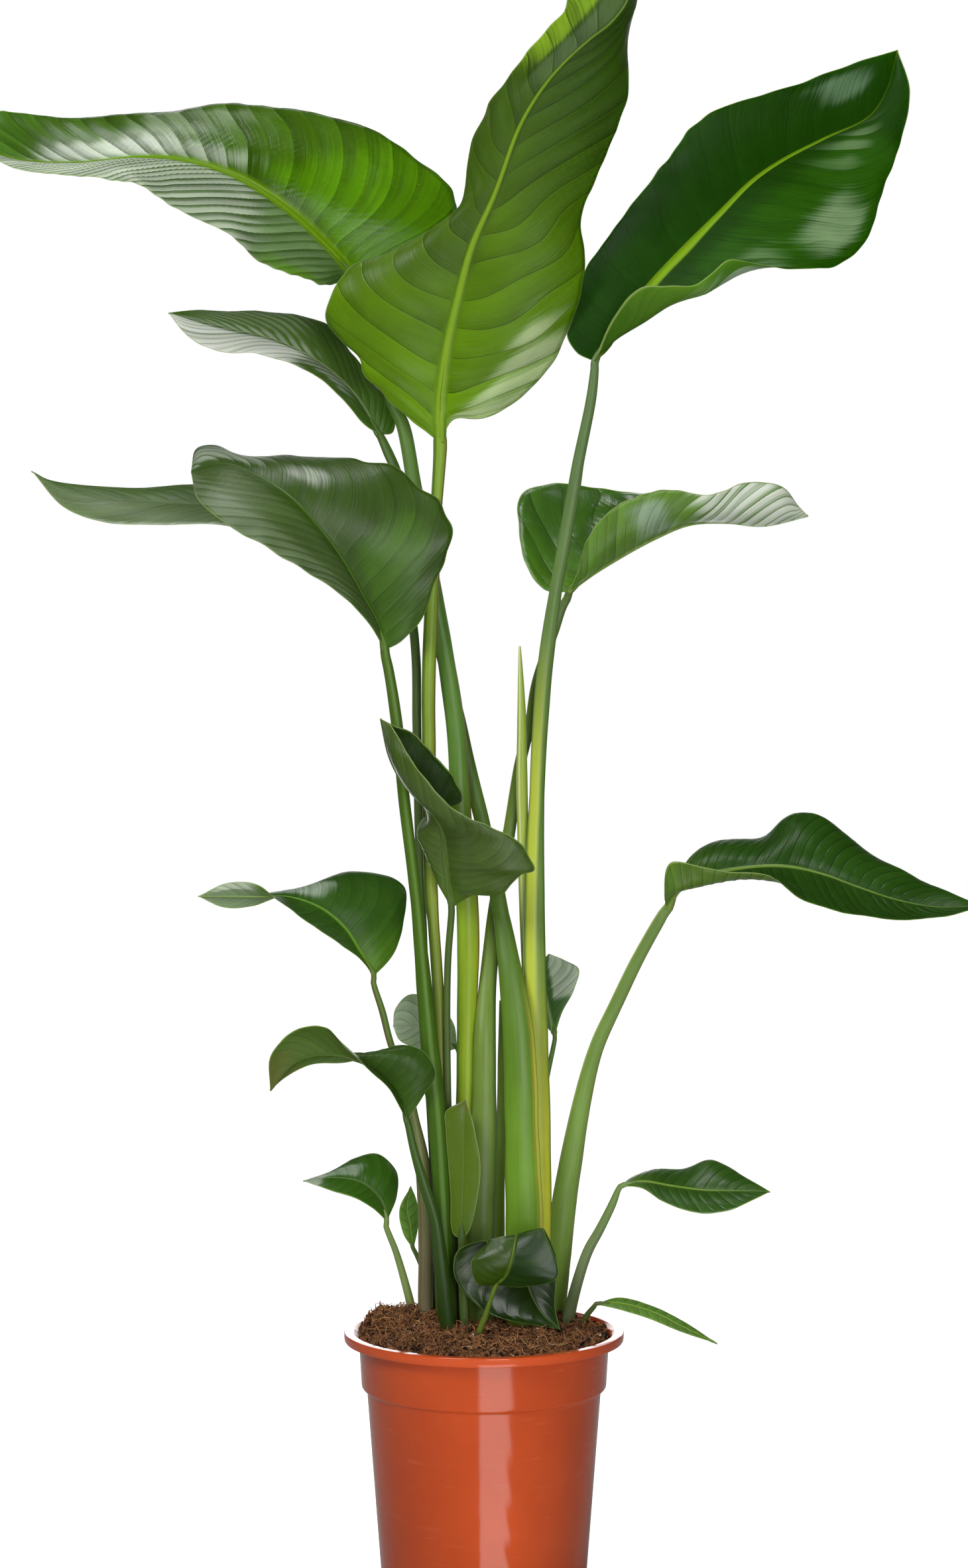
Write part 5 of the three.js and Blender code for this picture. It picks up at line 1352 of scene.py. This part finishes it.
# Studio: a pale floor, a white surround and large soft lights
def soft_light(name, place, target, size, power):
    lamp = bpy.data.lights.new(name, "AREA")
    lamp.shape = "RECTANGLE"
    lamp.size, lamp.size_y = size
    lamp.energy = power
    made = added(name, lamp)
    made.location = place
    aim = np.array(target) - np.array(place)
    made.rotation_euler = mathutils.Vector(aim).to_track_quat("-Z", "Y").to_euler()
    made.visible_camera = False


soft_light("key_light", (-1.3, -2.2, 2.2), (0, 0, 0.9), (1.0, 1.0), 44)
soft_light("front_light", (0.6, -3.0, 0.9), (0, 0, 0.7), (0.9, 1.8), 36)
soft_light("top_light", (-0.5, -0.2, 2.9), (0, 0, 0.9), (1.2, 0.6), 20)
soft_light("left_rim", (-2.2, 1.4, 1.6), (0, 0, 0.9), (0.7, 1.6), 5)
soft_light("right_rim", (2.2, 1.4, 1.6), (0, 0, 0.9), (0.7, 1.6), 5)
soft_light("low_panel", (0, 1.2, 0.5), (0, 0, 0.25), (1.4, 0.35), 3.2)

# A strip of light on the floor before the pot, wider further out, that the pot's wall mirrors as one upright
# stripe: lengths of it as start, end, left edge and right edge
STRIP_LENGTHS = [
    (0.155, 0.20, -0.010, 0.060), (0.20, 0.26, -0.014, 0.087), (0.26, 0.34, -0.020, 0.121),
    (0.34, 0.44, -0.027, 0.165), (0.44, 0.56, -0.036, 0.219), (0.56, 0.72, -0.047, 0.288),
    (0.72, 0.92, -0.061, 0.372),
]
STRIP_POWER = 10.5
for number, (near, far, left, right) in enumerate(STRIP_LENGTHS):
    middle = ((left + right) / 2, -(near + far) / 2)
    power = STRIP_POWER * ((right - left) * (far - near))
    soft_light(f"strip_{number}", (*middle, 0.001), (*middle, 1.0), (right - left, far - near), power)

# The surround is white where it is seen, bright behind the plant and dim on the camera's side as a light
SURROUND_BEHIND = 1.0
SURROUND_FRONT = 0.02
SURROUND_LEAN = (0.0, 0.98, 0.2)
SURROUND_SPAN = (0.8, 0.99)
WHITE = (1, 1, 1, 1)
world = bpy.data.worlds.new("white_surround")
bpy.context.scene.world = world
world.use_nodes = True
surround = Nodes(world.node_tree)
background = surround.tree.nodes["Background"].inputs
lean = surround.node("VectorMath", "Value", {0: surround.node("TexCoord", "Generated"), 1: SURROUND_LEAN},
                     operation="DOT_PRODUCT")
share = surround.ramp(lean, *SURROUND_SPAN, SURROUND_FRONT, SURROUND_BEHIND)
seen = surround.node("LightPath", "Is Camera Ray")
surround.put(background["Strength"], surround.math("MAXIMUM", share, seen))
background["Color"].default_value = WHITE

# The floor is white where it is seen and grey as a mirror of light
FLOOR_REACH = 14.0
FLOOR_GREY = (0.5, 0.5, 0.5, 1)
FLOOR_CORNERS = ((-1, -1), (1, -1), (1, 1), (-1, 1))
floor_mesh = bpy.data.meshes.new("studio_floor")
floor_mesh.from_pydata([(x * FLOOR_REACH, y * FLOOR_REACH, 0) for x, y in FLOOR_CORNERS], [], [(0, 1, 2, 3)])
floor = added("studio_floor", floor_mesh)
floor.location = (0, 0, -0.0002)
floor_shader = Shader("studio_floor")
floor_seen = floor_shader.node("LightPath", "Is Camera Ray") * 1.0
floor_shader.put(floor_shader.surface.inputs["Emission Strength"], floor_seen)
floor_shader.surface.inputs["Emission Color"].default_value = WHITE
floor_mesh.materials.append(floor_shader.finish(FLOOR_GREY, 0.9))
